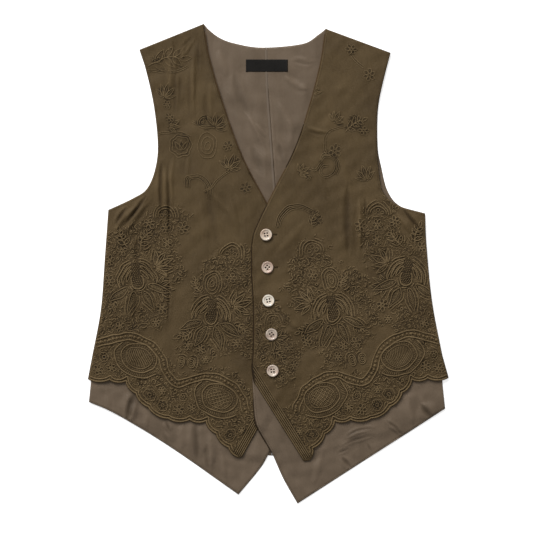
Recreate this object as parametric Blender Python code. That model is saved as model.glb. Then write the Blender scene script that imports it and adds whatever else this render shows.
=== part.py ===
"""Embroidered waistcoat, laid flat on its back.

Sides are the wearer's: the right front lies at -X. From the surface up lie the two back pieces, the plain
under-fronts with their long points, the corded fronts with their scalloped hems, and five buttons. The neck
label is sewn inside the back. Every table is in millimetres, and the solids are made in metres.
"""

import math
from collections import namedtuple

import bmesh
import bpy
import numpy as np
from mathutils import Matrix, Vector
from mathutils.geometry import delaunay_2d_cdt

MM = 0.001

# Cloth and the way its layers lie, in mm
CLOTH = 1.0  # wall of every piece of cloth
GAP = 0.3  # between two layers, and across the centre back seam
LAYER = CLOTH + GAP
EDGE_MARGIN = 1.0  # an upper layer stays level this far past the edge of the one below
FALL = 8.0  # then it comes down one unit in this many
OUTLINE_STEP = 2.0  # sampling of the outlines before they are thinned
OUTLINE_TOLERANCE = 0.3

# Corded embroidery, in mm
CORD_WIDTH = 2.2
CORD_RISE = 0.7
CORD_TOLERANCE = 0.35
CORD_INSET = 1.6  # how far the outermost cord's line lies from the cloth's edge
CORD_CLEAR = 1.4  # a cord stops where its line comes nearer to the edge than this
HEM_CORDS = (1.7, 5.2)  # lines of the doubled scallop cord, from the edge
BAND_HALF = 4.7  # half the distance between the two cords of the scroll band
RIB_PITCH = 2.6
RIB_COUNT = 5
RIB_HEADROOM = 0.25  # how far the ribs run on above a cutaway's top before the edge cuts them, of its length
RIB_POINTS = 60

# Buttons and label, in mm
BUTTON_RADIUS = 8.5
BUTTON_HEIGHT = 3.0
BUTTON_SIDES = 24
BUTTON_LAYERS = 5  # layers of cloth under the buttons: back, two under-fronts and two fronts
BUTTON_HOLE_RADIUS = 1.0
BUTTON_HOLE_OFFSET = 1.8
BUTTON_HOLE_SIDES = 8
BUTTONHOLE_START = -1.5  # from the button's centre
BUTTONHOLE_END = 13.0
BUTTONHOLE_WIDTH = 0.9
Turned = namedtuple("Turned", "radius height")  # shares of the button's own radius and height
BUTTON_PROFILE = (
    Turned(0.0, 0.66),
    Turned(0.62, 0.66),
    Turned(0.74, 0.92),
    Turned(0.9, 1.0),
    Turned(1.0, 0.78),
    Turned(0.98, 0.4),
    Turned(0.78, 0.0),
    Turned(0.0, 0.0),
)
LABEL_SIZE = (59.0, 17.6)
LABEL_CENTRE = (-2.0, 277.2)
LABEL_BEVEL = 0.25

Button = namedtuple("Button", "x y turn")
BUTTONS = (
    Button(-3.0, 40.5, 8.0),
    Button(-1.2, -5.1, 52.0),
    Button(0.2, -51.5, 12.0),
    Button(4.6, -98.8, 33.0),
    Button(6.2, -149.5, 4.0),
)

# Edges, each from its top or outer end: rows of x, y in mm that a smooth curve passes through
RIGHT_NECK = (-90.0, 335.6)
LEFT_NECK = (80.2, 328.7)
RIGHT_ARMHOLE = (
    (-180.3, 299.3),
    (-171.2, 271.3),
    (-160.0, 221.0),
    (-154.4, 166.0),
    (-158.5, 131.0),
    (-170.0, 104.5),
    (-190.0, 91.0),
    (-223.7, 75.3),
)
LEFT_BACK_ARMHOLE = (
    (171.2, 295.1),
    (162.1, 260.0),
    (153.8, 217.0),
    (153.2, 165.0),
    (158.0, 136.5),
    (167.0, 102.0),
    (184.5, 80.9),
    (219.5, 70.4),
)
LEFT_FRONT_ARMHOLE = (
    (171.2, 295.1),
    (162.1, 260.0),
    (152.8, 217.0),
    (152.4, 160.0),
    (155.8, 119.0),
    (161.5, 99.0),
    (180.0, 82.0),
    (219.5, 70.4),
)
RIGHT_SIDE = ((-223.7, 75.3), (-228.6, 8.0), (-234.2, -64.8), (-246.8, -132.0))
LEFT_SIDE = ((219.5, 70.4), (221.5, 25.0), (229.3, -53.6), (243.5, -128.0))
RIGHT_SCALLOP_CORNER = (-252.4, -161.4)
LEFT_SCALLOP_CORNER = (252.4, -159.4)
RIGHT_UNDER_SIDE = ((-248.2, -165.6), (-251.0, -193.6))
LEFT_UNDER_SIDE = ((243.6, -165.6), (247.5, -202.7))
RIGHT_UNDER_HEM = ((-251.0, -193.6), (-213.2, -210.4), (-139.0, -255.2), (-41.7, -323.1))
LEFT_UNDER_HEM = ((247.5, -202.7), (201.3, -232.8), (131.3, -277.6), (41.0, -335.7))
RIGHT_UNDER_POINT = (
    (-41.7, -323.1),
    (-13.0, -288.8),
    (-0.4, -267.8),
    (18.0, -225.0),
    (23.5, -190.0),
    (25.0, -150.0),
)
LEFT_UNDER_POINT = (
    (41.0, -335.7),
    (20.7, -300.0),
    (3.9, -262.2),
    (-15.8, -225.8),
    (-20.6, -192.2),
    (-22.6, -148.0),
)
RIGHT_V = (
    (-89.3, 324.5),
    (-83.7, 290.9),
    (-66.7, 232.1),
    (-39.8, 156.5),
    (-6.2, 90.9),
    (14.0, 58.0),
    (24.0, 35.0),
)
LEFT_V = (
    (79.6, 321.7),
    (72.9, 277.8),
    (56.1, 214.3),
    (37.5, 160.2),
    (9.5, 104.2),
    (-9.9, 65.2),
    (-20.0, 41.7),
)
RIGHT_CENTRE = ((25.0, 20.0), (25.0, -145.0))
LEFT_CENTRE = ((-22.8, 24.9), (-22.6, -17.2), (-20.2, -60.0), (-20.2, -118.0), (-22.6, -145.5))
RIGHT_CUTAWAY = ((25.0, -159.4), (-36.8, -270.6))
LEFT_CUTAWAY = ((-19.4, -166.3), (49.4, -276.2))
RIGHT_FRONT_TIP = (-41.5, -271.6)
LEFT_FRONT_TIP = (57.8, -275.2)
NECKLINE = (
    RIGHT_NECK,
    (-82.9, 327.3),
    (-67.6, 316.0),
    (-46.6, 308.4),
    (-8.8, 302.6),
    (47.3, 307.7),
    (69.7, 320.3),
    LEFT_NECK,
)
CENTRE_BACK = ((-3.2, 303.0), (-1.8, 247.5), (2.5, 187.3), (8.8, 96.3), (8.0, -60.0), (5.0, -268.6))
BACK_INSET = 1.2  # the back's sides stay this far inside the under-fronts'
BACK_HEM = ((-249.0, -191.0), (-130.0, -238.0), (5.0, -268.6), (130.0, -244.0), (245.5, -200.0))

# The border repeats twice along each hem: steps across and down from a scallop corner, in mm
Side = namedtuple("Side", "sign corner tip stretch drop")
RIGHT = Side(1.0, RIGHT_SCALLOP_CORNER, RIGHT_FRONT_TIP, 1.0, 1.0)
LEFT = Side(-1.0, LEFT_SCALLOP_CORNER, LEFT_FRONT_TIP, 0.963, 1.03)
BORDER_REPEATS = 2
SCALLOP_VALLEYS = ((0.0, 0.0), (30.5, 1.8), (52.5, 4.0), (66.8, 20.8), (84.0, 39.8))
BORDER_STEP = (112.0, 56.0)
SCALLOP_BULGE = 0.13  # of a lobe's width
SCALLOP_ROUNDNESS = 0.75  # the power that rounds a lobe: lower is squarer
SCALLOP_POINTS = 6
SCROLL_UNIT = (
    (12.0, -50.0),
    (31.0, -54.5),
    (52.0, -60.0),
    (72.0, -56.5),
    (90.0, -46.5),
    (102.5, -32.0),
    (110.0, -10.0),
)
MEDALLION_PLACE = (72.0, -29.5)
MEDALLION_HALF = (25.5, 19.5)
MEDALLION_TURN = -20.0
MEDALLION_RINGS = (1.0, 0.74)
CRADLE_SPAN = (150.0, 330.0)
CRADLE_SCALE = 1.38

Flower = namedtuple("Flower", "side x y radius turn")
FLOWERS = (
    Flower("right", -183.0, -24.0, 27.0, 8.0),
    Flower("right", -79.5, -74.0, 27.0, -6.0),
    Flower("left", 193.0, -19.5, 27.0, -8.0),
    Flower("left", 90.5, -70.0, 27.0, 6.0),
)
PETAL_ARCHES = ((1.0, 1.0), (0.79, 0.8))  # shares of the radius, across and up
PETAL_SPAN = (-14.0, 194.0)
FLOWER_HEART = 0.34
LEAF_LENGTH = 34.0
LEAF_WIDTH = 11.0
LEAF_TURNS = (-112.0, -68.0, -28.0, -152.0)
LEAF_ROOT = 0.55  # where a leaf starts, of the flower's radius
LEAF_FULLNESS = 0.8  # below 1 a leaf is widest nearer its root
LEAF_POINTS = 8

# Folds: a ridge along a line of x, y points, its height and half its width, in mm
Fold = namedtuple("Fold", "piece line height half")
FOLDS = (
    Fold("front_right", ((-134.8, 314.0), (-137.6, 240.5)), 1.8, 9.0),
    Fold("front_right", ((-106.8, 299.0), (-106.8, 222.0)), 1.5, 9.0),
    Fold("front_right", ((-144.0, 138.0), (-143.2, 36.0)), 2.2, 7.0),
    Fold("front_right", ((-181.0, 83.0), (-200.6, 64.0), (-216.0, 44.0)), 2.4, 6.0),
    Fold("front_right", ((-165.5, 88.0), (-185.0, 65.5), (-203.0, 39.0)), 2.0, 6.0),
    Fold("front_right", ((-99.8, 103.0), (-84.4, 26.0)), 1.6, 10.0),
    Fold("front_right", ((-56.0, 106.0), (-42.0, 36.0)), 2.0, 9.0),
    Fold("front_left", ((128.5, 92.0), (129.2, 19.0)), 2.0, 8.0),
    Fold("front_left", ((183.0, 68.0), (209.0, 36.0)), 2.4, 6.0),
    Fold("front_left", ((170.0, 62.0), (195.0, 25.0)), 1.8, 6.0),
    Fold("front_left", ((60.0, 150.0), (86.0, 84.0)), 1.4, 9.0),
    Fold("underfront_right", ((-188.0, -196.0), (-192.0, -213.0)), 1.4, 5.0),
    Fold("underfront_right", ((-104.0, -232.0), (-98.0, -270.0)), 1.2, 5.0),
    Fold("underfront_left", ((166.0, -227.0), (187.0, -235.0)), 1.2, 4.5),
    Fold("underfront_left", ((106.0, -246.0), (128.0, -237.0), (150.0, -236.0)), 1.1, 5.0),
    Fold("back_left", ((2.2, 246.0), (6.8, 187.3), (12.6, 104.0)), 0.9, 3.4),
    Fold("back_left", ((34.0, 289.0), (58.0, 285.0)), 0.8, 4.0),
    Fold("back_right", ((-33.0, 216.0), (-8.0, 160.0)), 0.8, 6.0),
)
FOLD_STEP = 11.0
FOLD_ROWS = (-1.0, -0.5, 0.0, 0.5, 1.0)  # of half its width
FOLD_FULLNESS = 0.6  # the power that rounds a fold's ends: lower is blunter

Finish = namedtuple("Finish", "colour roughness metallic")
FRONT_CLOTH = Finish((0.084, 0.060, 0.033), 0.62, 0.0)
UNDER_CLOTH = Finish((0.141, 0.107, 0.075), 0.48, 0.0)
LABEL_CLOTH = Finish((0.017, 0.015, 0.013), 0.75, 0.0)
SHELL = Finish((0.78, 0.69, 0.59), 0.28, 0.0)


# ---------------------------------------------------------------- lines in the plane


def smooth(points, step=OUTLINE_STEP):
    """A Catmull-Rom curve through the points, sampled about every step."""
    pts = [Vector(p) for p in points]
    if len(pts) < 3:
        return [tuple(p) for p in pts]
    ends = [pts[0] * 2 - pts[1]] + pts + [pts[-1] * 2 - pts[-2]]
    out = []
    for a, b, c, d in zip(ends, ends[1:], ends[2:], ends[3:]):
        count = max(2, math.ceil((c - b).length / step))
        for k in range(count):
            t = k / count
            out.append(0.5 * (2 * b + (c - a) * t + (2 * a - 5 * b + 4 * c - d) * t**2
                              + (3 * b - a - 3 * c + d) * t**3))
    return [tuple(p) for p in out + [pts[-1]]]


def thinned(line, tolerance):
    """The fewest of a line's points that keep it within the tolerance."""
    if len(line) < 3:
        return list(line)
    points = np.array(line)
    gaps = distances(points, np.array([points[0], points[-1]]))
    worst = int(np.argmax(gaps))
    if gaps[worst] <= tolerance:
        return [line[0], line[-1]]
    return thinned(line[: worst + 1], tolerance)[:-1] + thinned(line[worst:], tolerance)


def distances(points, line):
    """How far each of the points lies from a polyline."""
    best = np.full(len(points), np.inf)
    for a, b in zip(line[:-1], line[1:]):
        run = b - a
        share = np.clip(((points - a) @ run) / max(run @ run, 1e-12), 0.0, 1.0)
        best = np.minimum(best, np.linalg.norm(points - a - share[:, None] * run, axis=1))
    return best


def within(points, outline):
    """Which of the points lie inside a closed outline."""
    inside = np.zeros(len(points), dtype=bool)
    x, y = points[:, 0], points[:, 1]
    for (ax, ay), (bx, by) in zip(outline, np.roll(outline, -1, axis=0)):
        crosses = (ay > y) != (by > y)
        if crosses.any():
            inside ^= crosses & (x < (bx - ax) * (y - ay) / (by - ay if by != ay else 1.0) + ax)
    return inside


def beyond(points, outline):
    """How far each of the points lies outside a closed outline, or 0 inside it."""
    closed = np.vstack([outline, outline[:1]])
    return np.where(within(points, outline), 0.0, distances(points, closed))


def beside(line, offset):
    """A line moved sideways, to its left where the offset is positive."""
    pts = [Vector(p) for p in line]
    out = []
    for k, p in enumerate(pts):
        ahead = (pts[min(k + 1, len(pts) - 1)] - p).normalized()
        behind = (p - pts[max(k - 1, 0)]).normalized()
        along = (ahead + behind).normalized()
        spread = 1.0 / max(along.dot(ahead if k < len(pts) - 1 else behind), 0.6)
        out.append(tuple(p + Vector((-along.y, along.x)) * offset * spread))
    return out


def kept(line, clear):
    """The stretches of a line whose points pass a test, as lines of their own."""
    good = clear(np.array(line))
    runs, run = [], []
    for point, fits in zip(line, good):
        if fits:
            run.append(point)
        elif run:
            runs.append(run)
            run = []
    return [r for r in runs + [run] if len(r) > 2]


def arc(centre, radii, span, turn=0.0, step=6.0):
    """Part of an ellipse between two angles in degrees, turned about its centre."""
    count = max(3, math.ceil(abs(span[1] - span[0]) / step))
    swing = Matrix.Rotation(math.radians(turn), 2)
    angles = [math.radians(span[0] + (span[1] - span[0]) * k / count) for k in range(count + 1)]
    return [tuple(Vector(centre) + swing @ Vector((radii[0] * math.cos(a), radii[1] * math.sin(a))))
            for a in angles]


# ---------------------------------------------------------------- outlines


def edge(*runs):
    """One outline from edges laid end to end, each smooth in itself and meeting at a corner."""
    line = []
    for run in runs:
        line += smooth(run)
    neat = thinned(line, OUTLINE_TOLERANCE)
    return [p for p, q in zip(neat, neat[1:] + neat[:1]) if math.dist(p, q) > 0.05]


def backwards(points):
    return tuple(reversed(points))


def border_place(side, across, down):
    """A point of the hem border, from its steps across and down from the scallop corner."""
    x, y = side.corner
    return (x + side.sign * side.stretch * across, y - side.drop * down)


def scallops(side):
    """The scalloped hem from the side seam to the front's tip, in lobes between valleys."""
    valleys = [border_place(side, across + n * BORDER_STEP[0], down + n * BORDER_STEP[1])
               for n in range(BORDER_REPEATS) for across, down in SCALLOP_VALLEYS]
    line = []
    for a, b in zip(valleys, valleys[1:] + [side.tip]):
        run = Vector(b) - Vector(a)
        out = Vector((run.y, -run.x)) * side.sign
        for k in range(SCALLOP_POINTS):
            t = k / SCALLOP_POINTS
            bulge = SCALLOP_BULGE * math.sin(math.pi * t) ** SCALLOP_ROUNDNESS
            line.append(tuple(Vector(a) + run * t + out * bulge))
    return line + [side.tip]


def outlines():
    """Every panel's outline, run anticlockwise or clockwise as its edges come."""
    right_top = (RIGHT_NECK,) + RIGHT_V
    left_top = (LEFT_NECK,) + LEFT_V
    right_shoulder = (RIGHT_ARMHOLE[0], RIGHT_NECK)
    left_shoulder = (LEFT_BACK_ARMHOLE[0], LEFT_NECK)
    right_corner = (RIGHT_SIDE[-1], RIGHT_SCALLOP_CORNER)
    left_corner = (LEFT_SIDE[-1], LEFT_SCALLOP_CORNER)
    shapes = {
        "underfront_right": edge(right_top, RIGHT_CENTRE, backwards(RIGHT_UNDER_POINT),
                                 backwards(RIGHT_UNDER_HEM), backwards(RIGHT_UNDER_SIDE),
                                 backwards(RIGHT_SIDE), backwards(RIGHT_ARMHOLE), right_shoulder),
        "underfront_left": edge(left_top, LEFT_CENTRE, backwards(LEFT_UNDER_POINT),
                                backwards(LEFT_UNDER_HEM), backwards(LEFT_UNDER_SIDE),
                                backwards(LEFT_SIDE), backwards(LEFT_FRONT_ARMHOLE), left_shoulder),
        "front_right": edge(right_top, RIGHT_CENTRE, RIGHT_CUTAWAY),
        "front_left": edge(left_top, LEFT_CENTRE, LEFT_CUTAWAY),
    }
    shapes["front_right"] += list(reversed(scallops(RIGHT))) + edge(
        backwards(right_corner), backwards(RIGHT_SIDE), backwards(RIGHT_ARMHOLE), right_shoulder)
    shapes["front_left"] += list(reversed(scallops(LEFT))) + edge(
        backwards(left_corner), backwards(LEFT_SIDE), backwards(LEFT_FRONT_ARMHOLE), left_shoulder)
    shapes.update(back_outlines())
    return {name: np.array(shape) for name, shape in shapes.items()}


def back_outlines():
    """The back's two halves, either side of the centre seam, and the whole back."""
    seam = smooth(CENTRE_BACK)
    hem = smooth(BACK_HEM)
    neck = smooth(NECKLINE)
    foot = min(range(len(hem)), key=lambda k: math.dist(hem[k], CENTRE_BACK[-1]))
    top = min(range(len(neck)), key=lambda k: math.dist(neck[k], CENTRE_BACK[0]))
    right = smooth(RIGHT_ARMHOLE) + [(x + BACK_INSET, y) for x, y in smooth(RIGHT_SIDE)]
    left = smooth(LEFT_BACK_ARMHOLE) + [(x - BACK_INSET, y) for x, y in smooth(LEFT_SIDE)]
    right_half = neck[:top] + beside(seam, -GAP / 2) + hem[:foot][::-1] + right[::-1]
    left_half = neck[top + 1:][::-1] + beside(seam, GAP / 2) + hem[foot + 1:] + left[::-1]
    return {
        "back_right": thinned(right_half, OUTLINE_TOLERANCE),
        "back_left": thinned(left_half, OUTLINE_TOLERANCE),
        "back": thinned(right + hem + left[::-1] + neck[::-1], OUTLINE_TOLERANCE),
    }


# ---------------------------------------------------------------- corded embroidery


def scroll_lines(side):
    """The two cords of the scroll band along one hem."""
    places = [border_place(side, across + n * BORDER_STEP[0], down + n * BORDER_STEP[1])
              for n in range(BORDER_REPEATS) for across, down in SCROLL_UNIT]
    middle = smooth(places, 3.0)
    return [beside(middle, BAND_HALF), beside(middle, -BAND_HALF)]


def medallion_lines(side, repeat):
    """A double oval with a cradle under it, in the crook of the scroll band."""
    across, down = MEDALLION_PLACE
    centre = border_place(side, across + repeat * BORDER_STEP[0], down + repeat * BORDER_STEP[1])
    turn = MEDALLION_TURN * side.sign
    lines = [arc(centre, [half * ring for half in MEDALLION_HALF], (0.0, 360.0), turn)
             for ring in MEDALLION_RINGS]
    span = CRADLE_SPAN if side.sign > 0 else [180.0 - a for a in CRADLE_SPAN]
    return lines + [arc(centre, [half * CRADLE_SCALE for half in MEDALLION_HALF], span, turn)]


def leaf_lines(root, length, width, turn):
    """A pointed leaf: two bowed sides that meet at its root and its tip."""
    along = Vector((math.cos(math.radians(turn)), math.sin(math.radians(turn))))
    across = Vector((-along.y, along.x))
    shares = [k / LEAF_POINTS for k in range(LEAF_POINTS + 1)]
    return [[tuple(Vector(root) + along * length * t
                   + across * half * math.sin(math.pi * t**LEAF_FULLNESS)) for t in shares]
            for half in (width / 2, -width / 2)]


def flower_lines(flower):
    """Petal arches over a round heart, with long leaves below."""
    centre, radius = (flower.x, flower.y), flower.radius
    lines = [arc(centre, (radius * wide, radius * high), PETAL_SPAN, flower.turn)
             for wide, high in PETAL_ARCHES]
    lines.append(arc(centre, (radius * FLOWER_HEART,) * 2, (0.0, 360.0)))
    for turn in LEAF_TURNS:
        angle = math.radians(turn + flower.turn)
        reach = Vector((math.cos(angle), math.sin(angle))) * radius * LEAF_ROOT
        root = Vector(centre) + reach
        lines += leaf_lines(root, LEAF_LENGTH, LEAF_WIDTH, turn + flower.turn)
    return lines


def rib_lines(cutaway, sign):
    """The ribs of the band along a front's cutaway edge."""
    top, foot = (Vector(p) for p in cutaway)
    start = top + (top - foot) * RIB_HEADROOM
    fine = [tuple(start.lerp(foot, k / RIB_POINTS)) for k in range(RIB_POINTS + 1)]
    return [beside(fine, sign * (CORD_INSET + RIB_PITCH * n)) for n in range(RIB_COUNT)]


def cord_lines(name, shapes):
    """All the raised cords of a front, clipped to its own edge and to where no other front covers it."""
    side, cutaway, sign = ((RIGHT, RIGHT_CUTAWAY, -1.0) if name == "front_right"
                           else (LEFT, LEFT_CUTAWAY, 1.0))
    outline, cover = shapes[name], shapes["underfront_left"]
    covered = name == "front_right"
    hem = scallops(side)
    lines = [beside(hem, side.sign * inset) for inset in HEM_CORDS] + scroll_lines(side)
    for repeat in range(BORDER_REPEATS):
        lines += medallion_lines(side, repeat)
    for flower in FLOWERS:
        if name.endswith(flower.side):
            lines += flower_lines(flower)

    def clear(points):
        closed = np.vstack([outline, outline[:1]])
        fits = within(points, outline) & (distances(points, closed) > CORD_CLEAR)
        if covered:
            fits &= beyond(points, cover) > CORD_INSET
        return fits

    ribs = rib_lines(cutaway, sign)
    band = np.vstack([ribs[0], ribs[-1][::-1]])

    def clear_of_ribs(points):
        return clear(points) & (beyond(points, band) > CORD_INSET)

    pieces = [run for line in lines for run in kept(line, clear_of_ribs)]
    pieces += [run for line in ribs for run in kept(line, clear)]
    return [thinned(run, CORD_TOLERANCE) for run in pieces]


# ---------------------------------------------------------------- panels


def level_function(name, shapes):
    """How high a panel's underside lies: level over each lower layer, then falling to the one below."""

    def stepped(p, shape, height):
        return height - np.maximum(0.0, beyond(p, shapes[shape]) - EDGE_MARGIN) / FALL

    def level(p):
        if name.startswith("back"):
            return np.zeros(len(p))
        z = np.maximum(0.0, stepped(p, "back", LAYER))
        if name.endswith("left"):
            z = np.maximum(z, stepped(p, "underfront_right", 2 * LAYER))
            z = np.maximum(z, stepped(p, "front_right", 3 * LAYER))
        return z + (LAYER if name.startswith("front") else 0.0)

    return level


def level_lines(name):
    """The lines where a panel's underside starts and stops falling."""
    if name.startswith("back"):
        return []
    drops = [EDGE_MARGIN + FALL * LAYER * n for n in range(3)]
    hem = smooth(BACK_HEM, 8.0)
    lines = [beside(hem, -d) for d in drops[:2]]
    if name.endswith("left"):
        front = smooth(RIGHT_V[-3:], 8.0) + list(RIGHT_CENTRE) + list(RIGHT_CUTAWAY)
        under = smooth(backwards(RIGHT_UNDER_POINT)[:-1], 8.0)
        lines += [beside(front, d) for d in drops]
        lines += [beside(under, d) for d in drops[:2]]
    return [thinned(line, OUTLINE_TOLERANCE) for line in lines]


def fold_crest(fold):
    """The crest of a fold, with points about every step."""
    if len(fold.line) > 2:
        return smooth(fold.line, FOLD_STEP)
    a, b = (Vector(p) for p in fold.line)
    count = max(2, math.ceil((b - a).length / FOLD_STEP))
    return [tuple(a.lerp(b, k / count)) for k in range(count + 1)]


def fold_taper(share):
    """How full a fold is at a share of its length: nothing at both ends."""
    return np.sin(math.pi * np.clip(share, 0.0, 1.0)) ** FOLD_FULLNESS


def fold_rows(fold):
    """Lines along a fold that carry its rounded section, drawn together at both ends."""
    crest = fold_crest(fold)
    outer = beside(crest, fold.half)
    fullness = fold_taper(np.linspace(0.0, 1.0, len(crest)))
    return [[tuple(Vector(c).lerp(Vector(o), share * full))
             for c, o, full in zip(crest, outer, fullness)] for share in FOLD_ROWS]


def fold_height(points, fold):
    """A fold's height: a rounded ridge that tapers to nothing at both ends."""
    crest = np.array(fold_crest(fold))
    run = crest[-1] - crest[0]
    full = fold_taper(((points - crest[0]) @ run) / (run @ run))
    across = np.clip(distances(points, crest) / np.maximum(fold.half * full, 1e-3), 0.0, 1.0)
    return fold.height * full * (0.5 + 0.5 * np.cos(math.pi * across))


def cord_height(points, cords):
    """The height of the raised cords: a ridge along each line."""
    half = CORD_WIDTH / 2
    rise = np.zeros(len(points))
    for cord in cords:
        gap = distances(points, np.array(cord))
        rise = np.maximum(rise, CORD_RISE * np.clip(1.0 - gap / half, 0.0, 1.0))
    return rise


def cord_rows(cord):
    """The crest and the two feet of a raised cord, with a pointed cap on each free end."""
    half = CORD_WIDTH / 2
    left, right = beside(cord, half), beside(cord, -half)
    rows = [left, list(cord), right]
    if math.dist(cord[0], cord[-1]) < half:
        return rows
    for end, inner, a, b in ((0, 1, left[0], right[0]), (-1, -2, left[-1], right[-1])):
        tip = Vector(cord[end]) + (Vector(cord[end]) - Vector(cord[inner])).normalized() * half
        rows.append([a, tuple(tip), b])
    return rows


def slit_outline(button):
    """A narrow buttonhole beside a button's centre."""
    left, right = button.x + BUTTONHOLE_START, button.x + BUTTONHOLE_END
    low, high = button.y - BUTTONHOLE_WIDTH / 2, button.y + BUTTONHOLE_WIDTH / 2
    return np.array([(left, low), (right, low), (right, high), (left, high)])


def plan_mesh(outline, holes, lines):
    """Triangles that fill an outline, with the lines among their edges and the holes left out."""
    points, edges = [], []
    for loop in [outline] + holes:
        start = len(points)
        points += [Vector(p) for p in loop]
        edges += [(start + k, start + (k + 1) % len(loop)) for k in range(len(loop))]
    for line in lines:
        start = len(points)
        points += [Vector(p) for p in line]
        edges += [(start + k, start + k + 1) for k in range(len(line) - 1)]
    verts, _, faces, *_ = delaunay_2d_cdt(points, edges, [], 1, 1e-3)
    plan = np.array([tuple(v) for v in verts])
    centres = np.array([plan[list(face)].mean(axis=0) for face in faces])
    fits = within(centres, outline)
    for hole in holes:
        fits &= ~within(centres, hole)
    return plan, [face for face, good in zip(faces, fits) if good]


def panel(name, shapes):
    """One piece of cloth: a wall of even thickness, with cords raised on its outer face alone."""
    outline = shapes[name]
    folds = [fold for fold in FOLDS if fold.piece == name]
    cords = cord_lines(name, shapes) if name.startswith("front") else []
    holes = [slit_outline(b) for b in BUTTONS] if name in ("front_left", "underfront_left") else []
    lines = level_lines(name) + [row for fold in folds for row in fold_rows(fold)]
    lines += [row for cord in cords for row in cord_rows(cord)]
    plan, faces = plan_mesh(outline, holes, lines)
    raised = sum((fold_height(plan, fold) for fold in folds), np.zeros(len(plan)))
    low = level_function(name, shapes)(plan)
    if not name.startswith("back"):
        low = low + raised
        raised = np.zeros(len(plan))
    high = low + CLOTH + raised + cord_height(plan, cords)
    return wall(name, plan, faces, low, high)


def wall(name, plan, faces, low, high):
    """A closed wall from a plan of triangles: its underside, lifted by an extrusion to its outer face."""
    bm = bmesh.new()
    under = [bm.verts.new((x * MM, y * MM, z * MM)) for (x, y), z in zip(plan, low)]
    top_of = {}
    for face in faces:
        bm.faces.new([under[k] for k in face])
    for k, vert in enumerate(under):
        top_of[(round(vert.co.x, 9), round(vert.co.y, 9))] = high[k] * MM
    bmesh.ops.delete(bm, geom=[v for v in bm.verts if not v.link_faces], context="VERTS")
    lifted = bmesh.ops.extrude_face_region(bm, geom=list(bm.faces), use_keep_orig=True)
    for vert in lifted["geom"]:
        if isinstance(vert, bmesh.types.BMVert):
            vert.co.z = top_of[(round(vert.co.x, 9), round(vert.co.y, 9))]
    bmesh.ops.recalc_face_normals(bm, faces=bm.faces)
    return place(name, bm)


# ---------------------------------------------------------------- label and buttons


def place(name, bm):
    """A named object in the waistcoat's collection, from a finished bmesh."""
    mesh = bpy.data.meshes.new(name)
    bm.to_mesh(mesh)
    bm.free()
    obj = bpy.data.objects.new(name, mesh)
    bpy.data.collections["embroidered_waistcoat"].objects.link(obj)
    return obj


def neck_label():
    """The woven neck label, on the inside of the back across its centre seam."""
    bm = bmesh.new()
    bmesh.ops.create_cube(bm, size=1.0)
    size = Vector((LABEL_SIZE[0], LABEL_SIZE[1], CLOTH)) * MM
    bmesh.ops.scale(bm, vec=size, verts=bm.verts)
    bmesh.ops.bevel(bm, geom=[e for e in bm.edges if all(v.co.z > 0 for v in e.verts)],
                    offset=LABEL_BEVEL * MM, segments=1, affect="EDGES")
    middle = Vector((LABEL_CENTRE[0], LABEL_CENTRE[1], LAYER + CLOTH / 2)) * MM
    bmesh.ops.translate(bm, vec=middle, verts=bm.verts)
    return place("neck_label", bm)


def button_mesh():
    """A turned shell button with a rolled rim, a dished middle and four thread holes."""
    bm = bmesh.new()
    verts = [bm.verts.new((row.radius * BUTTON_RADIUS * MM, 0.0, row.height * BUTTON_HEIGHT * MM))
             for row in BUTTON_PROFILE]
    edges = [bm.edges.new(pair) for pair in zip(verts, verts[1:])]
    bmesh.ops.spin(bm, geom=verts + edges, cent=(0, 0, 0), axis=(0, 0, 1), angle=2 * math.pi,
                   steps=BUTTON_SIDES, use_merge=True, use_duplicate=False)
    bmesh.ops.remove_doubles(bm, verts=bm.verts, dist=1e-6)
    bmesh.ops.recalc_face_normals(bm, faces=bm.faces)
    blank = place("button_blank", bm)
    cutter = thread_holes()
    cut = blank.modifiers.new("thread holes", "BOOLEAN")
    cut.operation = "DIFFERENCE"
    cut.solver = "EXACT"
    cut.object = cutter
    bpy.context.view_layer.update()
    mesh = bpy.data.meshes.new_from_object(blank.evaluated_get(bpy.context.evaluated_depsgraph_get()))
    for obj in (blank, cutter):
        bpy.data.objects.remove(obj, do_unlink=True)
    return mesh


def thread_holes():
    """The four round cutters of a button's thread holes."""
    bm = bmesh.new()
    for x in (-1.0, 1.0):
        for y in (-1.0, 1.0):
            spot = Vector((x * BUTTON_HOLE_OFFSET, y * BUTTON_HOLE_OFFSET, BUTTON_HEIGHT / 2)) * MM
            bmesh.ops.create_cone(bm, cap_ends=True, segments=BUTTON_HOLE_SIDES,
                                  radius1=BUTTON_HOLE_RADIUS * MM, radius2=BUTTON_HOLE_RADIUS * MM,
                                  depth=2 * BUTTON_HEIGHT * MM, matrix=Matrix.Translation(spot))
    return place("thread_holes", bm)


def buttons():
    """The five buttons of the closing, on the left front's outer face."""
    mesh = button_mesh()
    seat = BUTTON_LAYERS * LAYER
    made = []
    for number, row in enumerate(BUTTONS, 1):
        obj = bpy.data.objects.new(f"button_{number}", mesh.copy())
        obj.location = Vector((row.x, row.y, seat)) * MM
        obj.rotation_euler.z = math.radians(row.turn)
        bpy.data.collections["embroidered_waistcoat"].objects.link(obj)
        made.append(obj)
    bpy.data.meshes.remove(mesh)
    return made


# ---------------------------------------------------------------- the whole waistcoat


def finish(obj, look):
    """Give an object a Principled material of its own."""
    material = bpy.data.materials.new(obj.name)
    material.use_nodes = True
    shader = material.node_tree.nodes["Principled BSDF"]
    shader.inputs["Base Color"].default_value = (*look.colour, 1.0)
    shader.inputs["Roughness"].default_value = look.roughness
    shader.inputs["Metallic"].default_value = look.metallic
    obj.data.materials.clear()
    obj.data.materials.append(material)


def clear_scene():
    for obj in list(bpy.data.objects):
        bpy.data.objects.remove(obj, do_unlink=True)


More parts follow.
